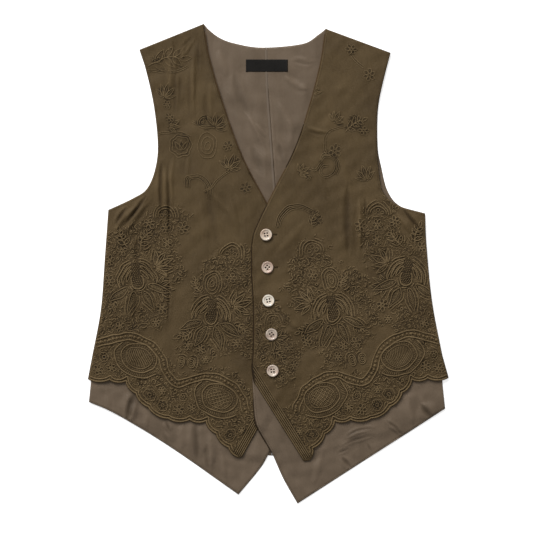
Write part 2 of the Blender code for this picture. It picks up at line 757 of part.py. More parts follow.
def main():
    clear_scene()
    collection = bpy.data.collections.new("embroidered_waistcoat")
    bpy.context.scene.collection.children.link(collection)
    shapes = outlines()
    for name in ("back_right", "back_left"):
        finish(panel(name, shapes), UNDER_CLOTH)
    for name in ("underfront_right", "underfront_left"):
        finish(panel(name, shapes), UNDER_CLOTH)
    for name in ("front_right", "front_left"):
        finish(panel(name, shapes), FRONT_CLOTH)
    finish(neck_label(), LABEL_CLOTH)
    for button in buttons():
        finish(button, SHELL)


main()
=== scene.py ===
"""Embroidered waistcoat, laid flat on its back: the cloth, the corded embroidery and every finish.

Sides are the wearer's: the right front lies at -X. Tables are in millimetres and meshes in metres. Each
piece of cloth follows the outline, level, folds and main cords of the solid it stands for.
"""

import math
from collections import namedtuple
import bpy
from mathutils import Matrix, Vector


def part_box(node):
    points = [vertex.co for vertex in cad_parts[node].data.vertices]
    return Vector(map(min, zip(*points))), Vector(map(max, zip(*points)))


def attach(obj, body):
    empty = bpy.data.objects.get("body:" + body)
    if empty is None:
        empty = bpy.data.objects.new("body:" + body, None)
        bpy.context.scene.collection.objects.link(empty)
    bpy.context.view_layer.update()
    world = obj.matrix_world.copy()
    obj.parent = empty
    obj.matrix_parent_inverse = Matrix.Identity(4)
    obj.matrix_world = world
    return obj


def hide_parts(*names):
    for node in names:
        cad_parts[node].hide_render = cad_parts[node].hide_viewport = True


bl_info = {
    "name": "Embroidered Waistcoat",
    "version": (1, 0, 0),
    "blender": (4, 5, 0),
    "location": "3D View > Sidebar > Waistcoat",
    "description": "A flat waistcoat with corded embroidery, a woven label and shell buttons",
    "category": "Add Mesh",
}

from copy import deepcopy
from functools import lru_cache

import bpy
import numpy as np
from mathutils import Matrix, Vector
from mathutils.geometry import delaunay_2d_cdt

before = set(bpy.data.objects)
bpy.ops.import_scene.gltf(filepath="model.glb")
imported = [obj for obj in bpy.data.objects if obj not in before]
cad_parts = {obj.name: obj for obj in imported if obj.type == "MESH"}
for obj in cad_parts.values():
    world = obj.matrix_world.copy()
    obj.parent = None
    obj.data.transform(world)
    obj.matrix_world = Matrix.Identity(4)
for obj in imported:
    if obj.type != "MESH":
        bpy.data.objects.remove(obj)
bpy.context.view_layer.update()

MM = 0.001
TURN = 2 * math.pi
BODY = "root"


def places(*row):
    """Points from a flat row of x, y, x, y."""
    return tuple(zip(row[::2], row[1::2]))


# Cloth and the way its layers lie, in mm
CLOTH = 1
GAP = 0.3
LAYER = CLOTH + GAP
EDGE_MARGIN = 1
FALL = 8
OUTLINE_STEP = 2
OUTLINE_TOLERANCE = 0.08
LEVEL_TOLERANCE = 0.3
EDGE_ROUND = 0.45  # how far inside its edge a cloth reaches its full thickness
FINE_MARGIN = 1.1  # how far from its edge a cloth's fine and coarse points start
COARSE_MARGIN = 1.5
HOLE_MARGIN = 0.3
COVER_MARGIN = 8  # how far a fine mesh goes on under the piece above

# Corded embroidery, in mm
CORD_INSET = 1.6
CORD_CLEAR = 1.4
HEM_CORDS = (1.7, 5.2)
BAND_HALF = 4.7
RIB_PITCH = 2.6
RIB_COUNT = 5
RIB_HEADROOM = 0.25
RIB_POINTS = 60
RIB_GIRTH = 0.72
ECHO_GIRTH = 0.82  # the filling cords' thickness, over the main cords'
ECHO_REACH = 0.76  # how much of the echo pitch a cord keeps clear
CORD_REACH = 1.4  # and how near a seed stitch may lie to it
MEANDER_STEP = 1
MEANDER_STEPS = 9
MEANDER_RADII = (1.4, 3.4)
MEANDER_GIRTH = 0.68
MEANDER_REACH = 2.35
SHORTEST_MEANDER = 2.4
MEANDER_TRIES = 4
CHEST_FINENESS = 0.72
SWAY = 0.8  # how far a needle strays from its line, in mm
SWAY_LENGTH = 25
ZONE_STRAY = 4.5  # and how far the edge of a worked zone strays
ZONE_LENGTH = 19
TENDRIL_HALF = 1.2
TENDRIL_GIRTH = 0.48
EYELET = 1.5  # radius of an eyelet's hole
PEARL_PITCH = 6.1
SHORTEST_RUN = 5  # cords shorter than this are left out
CORD_BEND = 0.07  # how far a cord's points may cut a corner
CORD_STEP = 3.6  # and how far apart they may lie
LINE_STEP = 1.3  # spacing of the points of a line that a cord may be laid along
CLAIM_STEP = 0.7  # and of the spots where it takes the ground
KNOT_REACHES = (1.9, 2.2)  # how near a seed stitch and a cord may lie to a bead
CLOSE_RINGS = ((2.2, 45), (4.2, 30))  # rings that feel how closely the ground is worked, for its painted shade
SEED_STRAY = 0.32  # how far a seed stitch strays, of its pitch
BEND_BACK = 0.12  # how often a short cord starts to bend the other way
BLUNT = 0.55  # how thick a cord's ends are, over its middle
STITCH_LIFT = 0.05  # how far stitches and beads stand over the cloth

# The edges of each side, each from its top or outer end: rows of x, y in mm for a smooth curve
Side = namedtuple("Side", "sign stretch drop neck armhole seam corner under_seam hem point v centre"
                          " cutaway tip")
RIGHT = Side(
    sign=1,
    stretch=1,
    drop=1,
    neck=(-90, 335.6),
    armhole=places(-180.3, 299.3, -171.2, 271.3, -160, 221, -154.4, 166, -158.5, 131, -170, 104.5,
                   -190, 91, -223.7, 75.3),
    seam=places(-223.7, 75.3, -228.6, 8, -234.2, -64.8, -246.8, -132),
    corner=(-252.4, -161.4),
    under_seam=places(-248.2, -165.6, -251, -193.6),
    hem=places(-251, -193.6, -213.2, -210.4, -139, -255.2, -41.7, -323.1),
    point=places(-41.7, -323.1, -13, -288.8, -0.4, -267.8, 18, -225, 23.5, -190, 25, -150),
    v=places(-89.3, 324.5, -83.7, 290.9, -66.7, 232.1, -39.8, 156.5, -6.2, 90.9, 14, 58, 24, 35),
    centre=places(25, 20, 25, -145),
    cutaway=places(25, -159.4, -36.8, -270.6),
    tip=(-41.5, -271.6),
)
LEFT = Side(
    sign=-1,
    stretch=0.963,
    drop=1.03,
    neck=(80.2, 328.7),
    armhole=places(171.2, 295.1, 162.1, 260, 152.8, 217, 152.4, 160, 155.8, 119, 161.5, 99, 180, 82,
                   219.5, 70.4),
    seam=places(219.5, 70.4, 221.5, 25, 229.3, -53.6, 243.5, -128),
    corner=(252.4, -159.4),
    under_seam=places(243.6, -165.6, 247.5, -202.7),
    hem=places(247.5, -202.7, 201.3, -232.8, 131.3, -277.6, 41, -335.7),
    point=places(41, -335.7, 20.7, -300, 3.9, -262.2, -15.8, -225.8, -20.6, -192.2, -22.6, -148),
    v=places(79.6, 321.7, 72.9, 277.8, 56.1, 214.3, 37.5, 160.2, 9.5, 104.2, -9.9, 65.2, -20, 41.7),
    centre=places(-22.8, 24.9, -22.6, -17.2, -20.2, -60, -20.2, -118, -22.6, -145.5),
    cutaway=places(-19.4, -166.3, 49.4, -276.2),
    tip=(57.8, -275.2),
)
LEFT_BACK_ARMHOLE = places(171.2, 295.1, 162.1, 260, 153.8, 217, 153.2, 165, 158, 136.5, 167, 102,
                           184.5, 80.9, 219.5, 70.4)
NECKLINE = (RIGHT.neck,
            *places(-82.9, 327.3, -67.6, 316, -46.6, 308.4, -8.8, 302.6, 47.3, 307.7, 69.7, 320.3),
            LEFT.neck)
CENTRE_BACK = places(-3.2, 303, -1.8, 247.5, 2.5, 187.3, 8.8, 96.3, 8, -60, 5, -268.6)
BACK_INSET = 1.2
BACK_HEM = places(-249, -191, -130, -238, 5, -268.6, 130, -244, 245.5, -200)

# The border repeats along each hem: steps across and down from a scallop corner, in mm
BORDER_REPEATS = 2
SCALLOP_VALLEYS = places(0, 0, 30.5, 1.8, 52.5, 4, 66.8, 20.8, 84, 39.8)
BORDER_STEP = (112, 56)
SCALLOP_BULGE = 0.13
SCALLOP_ROUNDNESS = 0.75
SCALLOP_POINTS = 14
SCROLL_UNIT = places(12, -50, 31, -54.5, 52, -60, 72, -56.5, 90, -46.5, 102.5, -32, 110, -10)
MEDALLION_PLACE = (72, -29.5)
MEDALLION_HALF = (25.5, 19.5)
MEDALLION_TURN = -20
MEDALLION_RINGS = (1, 0.74)
CRADLE_SPAN = (150, 330)
CRADLE_SCALE = 1.38
MEDALLION_SHADE_CUT = 0.5  # how much less painted shade the ground gets in a medallion
MEDALLION_FILLS = ((2.4, 3.2, (90,)), (4.6, 0, (38, 128)))  # its rows' spacing, bow and angles
HATCHES = 35  # short cords across each cradle
HATCH_SCALES = (1.07, 1.3)

Flower = namedtuple("Flower", "side x y radius turn")
FLOWERS = (
    Flower("right", -183, -24, 27, 8),
    Flower("right", -79.5, -74, 27, -6),
    Flower("left", 193, -19.5, 27, -8),
    Flower("left", 90.5, -70, 27, 6),
)
# Petals: shares of the radius across and up, and the angles that a petal spans
PETALS = ((1, 1, -14, 80), (0.79, 0.8, -10, 74), (0.57, 0.62, 0, 68))
PETAL_DEPTH = 0.145  # how far a petal's inner side bows in, of the radius
HEART = (0.32, 0.4)  # a flower's egg-shaped heart, of the radius
THROAT = places(-0.1, 0.3, 0.1, 0.3, 0.17, 0.9, -0.17, 0.9)
HEART_PITCH = 2.7
LEAF_LENGTH = 34
LEAF_WIDTH = 11
LEAF_TURNS = (-112, -68, -28, -152)
LEAF_ROOT = 0.55
LEAF_FULLNESS = 0.8
LEAF_POINTS = 14
LEAF_VEINS = 9

# The cloth that carries close embroidery, as rough outlines of x, y in mm
WORKED = {
    "front_right": (
        places(-264, 33, -219, 42, -196, 50, -180, 63, -166, 77, -143, 81, -124, 81, -110, 72, -112, 53,
               -124, 39, -128, 19, -119, 2, -114, -12, -128, -24, -136, -37, -138, -76, -152, -91, -173, -94,
               -196, -96, -222, -101, -243, -107, -264, -114),
        places(-91, 2, -73, 19, -45, 25, -14, 22, -14, -124, -31, -131, -48, -126, -65, -129, -84, -138,
               -101, -143, -118, -143, -132, -129, -126, -107, -110, -93, -104, -65, -110, -44, -101, -19),
        places(-278, -121, -238, -104, -210, -98, -180, -97, -154, -111, -140, -131, -126, -149, -110, -154,
               -89, -146, -68, -143, -47, -152, -28, -171, -14, -191, -14, -296, -278, -296),
    ),
    "front_left": (
        places(131, 78, 154, 92, 173, 95, 184, 81, 179, 58, 190, 44, 212, 36, 254, 33, 261, -114, 235, -114,
               210, -101, 184, -98, 173, -87, 180, -73, 162, -59, 165, -37, 159, -17, 140, -6, 131, 19,
               126, 47),
        places(30, 2, 39, 25, 58, 36, 81, 36, 86, 14, 98, -3, 117, -6, 137, -12, 142, -31, 145, -48,
               162, -65, 159, -82, 145, -93, 140, -112, 128, -129, 106, -143, 81, -143, 70, -124, 56, -118,
               61, -104, 64, -79, 53, -62, 33, -59, 23, -37),
        places(-33, -68, -9, -56, 16, -59, 28, -76, 25, -98, 44, -110, 50, -124, 44, -143, 39, -157,
               19, -174, 2, -157, -14, -138, -33, -129),
        places(275, -114, 240, -104, 210, -100, 182, -104, 162, -119, 154, -139, 137, -149, 117, -152,
               93, -146, 72, -149, 53, -160, 36, -185, 22, -205, 9, -296, 275, -296),
    ),
}

# Motifs: a kind, where it grows from, its size and the way it points, in mm and degrees
Motif = namedtuple("Motif", "kind x y size turn")
HEM_MOTIFS = (  # steps across and down from a scallop corner, repeated with the border
    ("eyelet", 87, 22, 9, 0), ("eyelet", 105, 37, 8, 0), ("rose", 15, -13, 8, 10),
    ("rose", 33, -15.5, 7, 40), ("rose", 52, -9, 6.5, 20), ("eyelet", 22, -31, 6.5, 0),
    ("rose", 104, 16, 6, 0),
)
PAIRED_MOTIFS = (  # on the right front, and mirrored on the left
    ("arches", -143, 66, 15, 92), ("rose", -119, 50, 9.5, 12), ("rose", -143, 50, 7.5, 0),
    ("rose", -141, 29, 8, 30), ("rose", -166, 55, 8.5, 18), ("spray", -178, 20, 34, 58),
    ("spray", -196, 22, 32, 108), ("rose", -205, 19, 8, 0), ("rose", -222, 4, 7.5, 25),
    ("fan", -158, -4, 26, 24), ("fan", -156, -34, 24, -4), ("rose", -150, 10, 7, 10),
    ("rose", -222, -24, 8.5, 0), ("spray", -214, -40, 30, -112), ("rose", -149, -62, 9, 14),
    ("rose", -156, -82, 6.5, 0), ("rose", -208, -88, 7, 20), ("oval", -78, -28, 14, 80),
    ("arches", -52, 12, 17, 78), ("rose", -52, -20, 8, 0), ("spray", -92, -42, 26, 112),
    ("fan", -50, -60, 26, 14), ("spray", -55, -88, 30, -22), ("spray", -104, -92, 26, -158),
    ("rose", -44, -112, 8, 10), ("rose", -112, -114, 7.5, 0), ("rose", -94, -119, 7, 30),
    ("oval", -121, -137, 7.5, 95), ("oval", -107, -139, 7.5, 80), ("rose", -88, -134, 6.5, 0),
)
MIRROR_SHIFT = (10.5, 4.2)
CHEST_MOTIFS = {
    "front_right": (
        ("spray", -168, 276, 58, 6), ("rose", -158, 287, 6, 0), ("fan", -146, 232, 20, 72),
        ("rose", -141, 222, 6, 0), ("rose", -138, 204, 7, 15), ("fan", -140, 192, 17, 28),
        ("bloom", -122, 165, 17, 90), ("oval", -85, 165, 19, 88), ("rose", -57, 164, 7, 10),
        ("fan", -76, 190, 22, 52), ("arches", -88, 196, 12, 95), ("fan", -56, 131, 22, 70),
        ("rose", -45, 143, 6.5, 0), ("rose", -31, 106, 8.5, 20),
    ),
    "front_left": (
        ("rose", 116, 300, 8, 0), ("rose", 141, 264, 9, 20), ("fan", 62, 236, 14, 80),
        ("spray", 108, 184, 34, 28), ("fan", 92, 198, 15, 60), ("rose", 94, 158, 9, 25),
        ("fan", 138, 117, 20, 110), ("fan", 42, 127, 15, 30), ("rose", 55, 122, 6, 0),
        ("rose", 119, 200, 8.5, 12), ("rose", 133, 186, 7, 0), ("spray", 62, 50, 24, 70),
        ("rose", 70, 61, 7.5, 0), ("spray", -10, -70, 24, 62), ("arches", 8, -84, 15, 96),
        ("arches", -20, -100, 11, 60), ("fan", 6, -104, 22, -24), ("rose", 30, -118, 8, 10),
        ("spray", 0, -122, 30, -38), ("rose", 36, -142, 7.5, 0), ("rose", 18, -160, 6, 20),
    ),
}
# Tendrils: cords of their own over the plain chest, through rows of x, y
TENDRILS = {
    "front_right": (
        places(-156, 181, -142, 184, -124, 184, -108, 178),
        places(-115, 107, -114, 120, -100, 124, -86, 117, -79, 103, -80, 89),
        places(-111, 107, -110, 117, -100, 120, -89, 114, -83, 102, -84, 90),
        places(-90, 99, -80, 107, -72, 116, -62, 123, -52, 131),
        places(-107, 200, -91, 190, -73, 193, -66, 204),
        places(-172, 271, -150, 268, -128, 270, -112, 276),
    ),
    "front_left": (
        places(11, 50, 15, 67, 25, 78, 40, 82, 56, 79, 67, 70),
        places(15, 50, 19, 64, 28, 74, 40, 78, 54, 75, 63, 67),
        places(109, 190, 98, 191, 86, 184, 78, 173, 79, 159, 89, 152, 100, 156, 99, 165, 91, 165),
        places(72, 142, 79, 150, 90, 147, 94, 137, 91, 126, 81, 122, 74, 128, 76, 136, 84, 136),
        places(73, 145, 78, 154, 92, 151, 99, 139, 95, 124),
        places(44, 128, 56, 134, 66, 131, 73, 140),
        places(116, 292, 124, 282, 134, 274),
    ),
}

# Folds: a ridge's height, half its width, then x, y of the points it runs through, in mm
Fold = namedtuple("Fold", "height half line")
FOLDS = {
    "front_right": (
        (1.8, 9, -134.8, 314, -137.6, 240.5), (1.5, 9, -106.8, 299, -106.8, 222),
        (2.2, 7, -144, 138, -143.2, 36), (2.4, 6, -181, 83, -200.6, 64, -216, 44),
        (2, 6, -165.5, 88, -185, 65.5, -203, 39), (1.6, 10, -99.8, 103, -84.4, 26),
        (2, 9, -56, 106, -42, 36),
    ),
    "front_left": (
        (2, 8, 128.5, 92, 129.2, 19), (2.4, 6, 183, 68, 209, 36), (1.8, 6, 170, 62, 195, 25),
        (1.4, 9, 60, 150, 86, 84),
    ),
    "underfront_right": ((1.4, 5, -188, -196, -192, -213), (1.2, 5, -104, -232, -98, -270)),
    "underfront_left": ((1.2, 4.5, 166, -227, 187, -235), (1.1, 5, 106, -246, 128, -237, 150, -236)),
    "back_left": ((0.9, 3.4, 2.2, 246, 6.8, 187.3, 12.6, 104), (0.8, 4, 34, 289, 58, 285)),
    "back_right": ((0.8, 6, -33, 216, -8, 160),),
}
FOLD_STEP = 11
FOLD_FULLNESS = 0.6

# Creases: smaller ridges of the outer face alone, or troughs where the height is negative. They also set a
# painted shade in each trough and a painted highlight on each ridge
CREASE_DEPTH = 1.6
SHOULDER_REACH = 2.6
THINNEST = 0.35
# the share of a ridge's height that is painted as highlight
RIDGE_HIGHLIGHT = 0.55
CREASES = {
    "front_right": (
        (0.9, 4, -104, 315, -104.5, 260, -104, 205), (-0.7, 3.2, -98, 314, -97.5, 264),
        (-0.6, 4, -110.5, 274, -110, 205), (-0.8, 3.8, -130, 274, -130.5, 205),
        (0.7, 3.4, -137, 290, -138, 208), (0.8, 3.2, -101, 317, -120, 288), (-0.6, 3, -106, 318, -127, 296),
        (-0.6, 7, -88, 242, -86, 190), (0.6, 5, -81, 254, -80, 205), (0.7, 6, -79, 100, -54, 70),
        (-1.3, 3.8, -141, 146, -139, 100, -139, 30), (-1.7, 4.4, -149, 148, -150.5, 110, -150, 62),
        (-1.2, 3.6, -139.5, 14, -139, -40, -140.5, -92), (-1, 7, -184, 40, -183.5, -22),
        (-1, 7, -187, -30, -187, -86), (-0.6, 9, -88.5, 112, -78, 62, -68, 18),
        (0.7, 4, -128, 298, -131, 262), (0.6, 4, -118, 312, -120, 284), (-0.5, 5, -122, 268, -124, 224),
        (0.7, 5, -111, 150, -114, 120), (0.8, 5, -132, 152, -136, 118, -134, 88),
        (-1.8, 4, -169, 97, -184, 76, -202, 52), (-1.6, 3.8, -197, 80, -205, 69, -214, 54),
        (-0.9, 3.4, -194, 50, -208, 42, -217, 38), (0.5, 6, -6, 80, 8, 52),
    ),
    "front_left": (
        (-1.2, 8, 112, 118, 110, 60, 112, 8), (1.3, 4, 127, 96, 128, 50, 127, 6),
        (-0.9, 3.4, 135.5, 98, 136, 56), (0.8, 3.6, 178, 73, 203, 36),
        (-1.9, 4.2, 186, 78, 200, 62, 217, 40), (0.9, 4, 53, 191.5, 70, 186, 86.5, 184),
        (-0.5, 3, 52, 186.5, 70, 181, 84, 179.5), (0.55, 9, 10, 12, 32, 36, 52, 60),
        (0.6, 8, 96, 160, 116, 96), (-0.6, 5, 20, -76, 34, -90, 52, -96),
    ),
    "underfront_right": (
        (-2.6, 8, -186, -176, -198, -222), (-1.7, 8, -103, -214, -99, -276),
        (0.9, 9, -172, -184, -171, -232), (0.7, 8, -121, -216, -122, -264), (0.8, 9, -81, -228, -79, -292),
        (-0.7, 5, -182, -182, -184, -222), (-1.6, 3.4, -145, -217, -136, -236),
        (-0.8, 5, -148, -236, -138, -256), (-1, 6, -86, -250, -84, -286), (0.6, 6, -66, -262, -60, -300),
        (0.5, 6, -226, -172, -222, -204),
    ),
    "underfront_left": (
        (-1.5, 3, 164, -218, 179, -230, 191, -242), (-1.2, 2.8, 104, -247, 123, -234, 152, -229),
        (-1.1, 2.8, 100, -257, 117, -248, 135, -242.6, 151, -238), (-0.9, 2.8, 95, -266, 114, -258),
        (-1.1, 3, 138, -250, 146, -266), (-2, 7, 213, -196, 222, -208, 233, -218),
        (0.8, 9, 76, -262, 62, -310), (0.8, 8, 196, -190, 202, -226), (0.6, 6, 212, -184, 222, -206),
        (-1.6, 4.6, 102, -270, 118, -288), (0.6, 8, 2, -222, 22, -262, 38, -300),
        (-0.5, 6, -14, -178, -6, -210),
    ),
    "back_right": (
        (1.1, 4.4, -30, 212, -10, 174, -4, 158), (1, 4, -18, 197, -2, 176),
        (-1, 9, -48, 268, -40, 236, -26, 206), (-0.9, 9, -24, 166, -6, 120), (0.9, 10, -70, 300, -58, 262),
    ),
    "back_left": (
        (-0.6, 3.4, 30, 284, 56, 279, 68, 284), (1, 8, 22, 262, 44, 248, 56, 244),
        (1, 8, 14, 226, 30, 196, 34, 170), (-0.9, 6, 14, 170, 22, 140),
    ),
}

BUTTON_NAMES = tuple(f"button_{n}" for n in range(1, 6))
BUTTON_TURNS = (8, 52, 12, 33, 4)
BUTTONHOLE_START = -1.5
BUTTONHOLE_END = 15
BUTTONHOLE_WIDTH = 0.24


def everyday(red, green, blue):
    """A colour from 0 to 255 as screens show it, in Blender's linear scale."""
    return tuple(c / 12.92 if c <= 0.04045 else ((c + 0.055) / 1.055) ** 2.4
                 for c in (red / 255, green / 255, blue / 255))


# ---- sizes and colours to change


def in_metres(name, description, default, least=0.0):
    return bpy.props.FloatProperty(name=name, description=description, default=default, min=least,
                                   unit="LENGTH")


def tint(name, description, *default):
    return bpy.props.FloatVectorProperty(name=name, description=description, subtype="COLOR", size=3,
                                         min=0.0, max=1.0, default=everyday(*default))


class ClothSettings(bpy.types.PropertyGroup):
    """How the panels of cloth look and lie."""

    fine_step: in_metres("Fine step", "Spacing of the mesh where a panel shows", 2.1 * MM, MM)
    coarse_step: in_metres("Coarse step", "Spacing of the mesh where a panel is covered", 7.0 * MM, 2 * MM)
    billow: in_metres("Billow", "Height of the broad soft waves of the cloth", 1.3 * MM)
    pucker: in_metres("Pucker", "Height of the small puckers between cords", 0.22 * MM)
    crumple: in_metres("Crumple", "Height of the smaller waves of the outer face", 0.3 * MM)
    front: tint("Front cloth", "Colour of the embroidered fronts", 84, 68, 43)
    lining: tint("Lining satin", "Colour of the back and the plain under-fronts", 107, 92, 76)


class CordSettings(bpy.types.PropertyGroup):
    """Sizes and colour of the raised embroidery."""

    width: in_metres("Width", "Width of the main cords", 2.2 * MM, 0.5 * MM)
    rise: in_metres("Rise", "Height of a main cord's crown over the cloth", 1.25 * MM, 0.1 * MM)
    sides: bpy.props.IntProperty(name="Sides", description="Faces around a cord", default=6, min=3, max=16)
    echo: in_metres("Echo pitch", "Spacing of the cords that repeat a motif's outline", 3.9 * MM, MM)
    seed_pitch: in_metres("Seed pitch", "Spacing of the seed stitches that fill the ground", 2.5 * MM, MM)
    pearl: in_metres("Pearl", "Width of the padded dots in the scroll band", 4.3 * MM, 0.5 * MM)
    colour: tint("Cord", "Colour of the embroidery cord", 104, 86, 58)


class TrimSettings(bpy.types.PropertyGroup):
    """The label, the buttons and the sewing."""

    label: tint("Label", "Colour of the woven neck label", 24, 22, 20)
    shell: tint("Shell", "Lightest colour of the shell buttons", 250, 238, 222)
    stitch_pitch: in_metres("Stitch pitch", "Spacing of the machine stitches along the edges", 2.6 * MM, MM)


class StageSettings(bpy.types.PropertyGroup):
    """Floor, light and camera."""

    height: in_metres("Camera height", "How high the camera looks straight down from", 3.0, 0.5)
    field: in_metres("Field", "Width of floor that the picture takes in", 0.7462, 0.1)
    key: bpy.props.FloatProperty(
        name="Key light", description="Power of the large soft light beyond the neck",
        default=525.0, min=0.0, unit="POWER")
    fill: bpy.props.FloatProperty(
        name="Fill", description="Brightness of the even light from all round", default=0.34, min=0.0)
    glow: bpy.props.FloatProperty(
        name="Floor glow", description="How much light the pale floor gives off", default=0.55, min=0.0)


# ---- lines in the plane


def smooth(points, step=OUTLINE_STEP):
    """A Catmull-Rom curve through the points, sampled about every step."""
    pts = [Vector(p) for p in points]
    if len(pts) < 3:
        return tuples(pts)
    ends = [pts[0] * 2 - pts[1]] + pts + [pts[-1] * 2 - pts[-2]]
    out = []
    for a, b, c, d in zip(ends, ends[1:], ends[2:], ends[3:]):
        count = max(2, math.ceil((c - b).length / step))
        for k in range(count):
            t = k / count
            out.append(0.5 * (2 * b + (c - a) * t + (2 * a - 5 * b + 4 * c - d) * t**2
                              + (3 * b - a - 3 * c + d) * t**3))
    return [tuple(p) for p in out + [pts[-1]]]


def thinned(line, tolerance):
    """The fewest of a line's points that keep it within the tolerance."""
    if len(line) < 3:
        return list(line)
    points = np.array(line)
    gaps = distances(points, np.array([points[0], points[-1]]))
    worst = int(np.argmax(gaps))
    if gaps[worst] <= tolerance:
        return [line[0], line[-1]]
    return thinned(line[: worst + 1], tolerance)[:-1] + thinned(line[worst:], tolerance)


def tuples(points):
    return [tuple(p) for p in points]


def parted(values, lines):
    """Values of all lines' points, cut into one row for each line."""
    return np.split(values, np.cumsum([len(line) for line in lines])[:-1])


def stations(line, pitch):
    """Points spaced evenly along a line, about a pitch apart, as an array."""
    pts = np.array(line, dtype=float)
    reach = np.concatenate([[0.0], np.cumsum(np.linalg.norm(np.diff(pts, axis=0), axis=1))])
    count = max(2, int(round(reach[-1] / pitch)) + 1)
    marks = np.linspace(0.0, reach[-1], count)
    return np.column_stack([np.interp(marks, reach, pts[:, k]) for k in range(2)])


def length_of(line):
    return float(np.linalg.norm(np.diff(np.array(line), axis=0), axis=1).sum())


def distances(points, line):
    """How far each point lies from a line."""
    best = np.full(len(points), np.inf)
    for a, b in zip(line[:-1], line[1:]):
        run = b - a
        share = np.clip(((points - a) @ run) / max(run @ run, 1e-12), 0.0, 1.0)
        best = np.minimum(best, np.linalg.norm(points - a - share[:, None] * run, axis=1))
    return best


def within(points, outline):
    """Which of the points lie inside a closed outline."""
    inside = np.zeros(len(points), dtype=bool)
    x, y = points[:, 0], points[:, 1]
    for (ax, ay), (bx, by) in zip(outline, np.roll(outline, -1, axis=0)):
        crosses = (ay > y) != (by > y)
        if crosses.any():
            inside ^= crosses & (x < (bx - ax) * (y - ay) / (by - ay if by != ay else 1.0) + ax)
    return inside


def ring_distance(points, outline):
    """How far each point lies from a closed outline."""
    return distances(points, np.vstack([outline, outline[:1]]))


def well_within(points, outline, margin):
    """Which points lie inside a closed outline by more than a margin."""
    return within(points, outline) & (ring_distance(points, outline) > margin)


def beyond(points, outline):
    """How far each point lies outside a closed outline, or 0 inside it."""
    return np.where(within(points, outline), 0.0, ring_distance(points, outline))


def beside(line, offset):
    """A line moved sideways, to its left where the offset is positive."""
    pts = [Vector(p) for p in line]
    closed = len(pts) > 3 and (pts[0] - pts[-1]).length < 1e-6
    out = []
    for k, p in enumerate(pts):
        ahead = (pts[min(k + 1, len(pts) - 1)] - p).normalized()
        behind = (p - pts[max(k - 1, 0)]).normalized()
        if closed and k in (0, len(pts) - 1):
            ahead = (pts[1] - pts[0]).normalized()
            behind = (pts[-1] - pts[-2]).normalized()
        along = (ahead + behind).normalized()
        spread = 1.0 / max(along.dot(ahead if k < len(pts) - 1 or closed else behind), 0.6)
        out.append(tuple(p + along.orthogonal() * offset * spread))
    return out


def runs(line, good):
    """The stretches of a line whose points are marked good."""
    found, run = [], []
    for point, fits in zip(line, good):
        if fits:
            run.append(tuple(point))
        elif run:
            found.append(run)
            run = []
    return [r for r in found + [run] if len(r) > 2]


def arc(centre, radii, span, turn=0.0, step=6.0):
    """Part of an ellipse between two angles in degrees, turned about its centre."""
    count = max(3, math.ceil(abs(span[1] - span[0]) / step))
    swing = Matrix.Rotation(math.radians(turn), 2)
    angles = [math.radians(span[0] + (span[1] - span[0]) * k / count) for k in range(count + 1)]
    return [tuple(Vector(centre) + swing @ Vector((radii[0] * math.cos(a), radii[1] * math.sin(a))))
            for a in angles]


def circle(centre, radius, step):
    """A whole circle: its last point is its first again."""
    return arc(centre, (radius, radius), (0, 360), step=step)


def ripple(points, length, seed, waves=11):
    """A smooth random relief from about -1 to 1, its bumps about a length across."""
    rng = np.random.RandomState(seed)
    total = np.zeros(len(points))
    for turn, phase, stretch in zip(rng.uniform(0, TURN, waves), rng.uniform(0, TURN, waves),
                                    rng.uniform(0.65, 1.5, waves)):
        way = points[:, 0] * math.cos(turn) + points[:, 1] * math.sin(turn)
        total += np.sin(way * TURN / (length * stretch) + phase)
    return total / math.sqrt(waves)


def eased(values, low, high):
    """0 below the low value, 1 above the high one, and a smooth rise between."""
    t = np.clip((values - low) / (high - low), 0.0, 1.0)
    return t * t * (3 - 2 * t)


# ---- outlines


def edge(*stretches):
    """One outline from smooth edges that meet at corners."""
    line = []
    for stretch in stretches:
        line += smooth(stretch)
    return line


def backwards(points):
    return tuple(reversed(points))


def border_place(side, across, down, repeat=0):
    """A point of the hem border, from its steps from the scallop corner."""
    x, y = side.corner
    across += repeat * BORDER_STEP[0]
    down += repeat * BORDER_STEP[1]
    return (x + side.sign * side.stretch * across, y - side.drop * down)


def scallops(side):
    """The scalloped hem from the side seam to the front's tip."""
    valleys = [border_place(side, *valley, n) for n in range(BORDER_REPEATS) for valley in SCALLOP_VALLEYS]
    line = []
    for a, b in zip(valleys, valleys[1:] + [side.tip]):
        run = Vector(b) - Vector(a)
        out = Vector((run.y, -run.x)) * side.sign
        for k in range(SCALLOP_POINTS):
            t = k / SCALLOP_POINTS
            bulge = SCALLOP_BULGE * math.sin(math.pi * t) ** SCALLOP_ROUNDNESS
            line.append(tuple(Vector(a) + run * t + out * bulge))
    return line + [side.tip]


def neat(line, tolerance):
    """An outline as an array, without the points that it doesn't need."""
    thin = thinned(line + line[:1], tolerance)[:-1]
    return np.array([p for p, q in zip(thin, thin[1:] + thin[:1]) if math.dist(p, q) > 0.05])


def outlines(tolerance):
    """Every panel's outline."""
    shapes = back_outlines()
    for name, side in (("right", RIGHT), ("left", LEFT)):
        top = (side.neck,) + side.v
        upper = (backwards(side.seam), backwards(side.armhole), (side.armhole[0], side.neck))
        corner = (side.corner, side.seam[-1])
        shapes["underfront_" + name] = edge(top, side.centre, backwards(side.point),
                                            backwards(side.hem), backwards(side.under_seam), *upper)
        shapes["front_" + name] = (edge(top, side.centre, side.cutaway) + scallops(side)[::-1]
                                   + edge(corner, *upper))
    return {name: neat(shape, tolerance) for name, shape in shapes.items()}


def nearest(line, place):
    return min(range(len(line)), key=lambda k: math.dist(line[k], place))


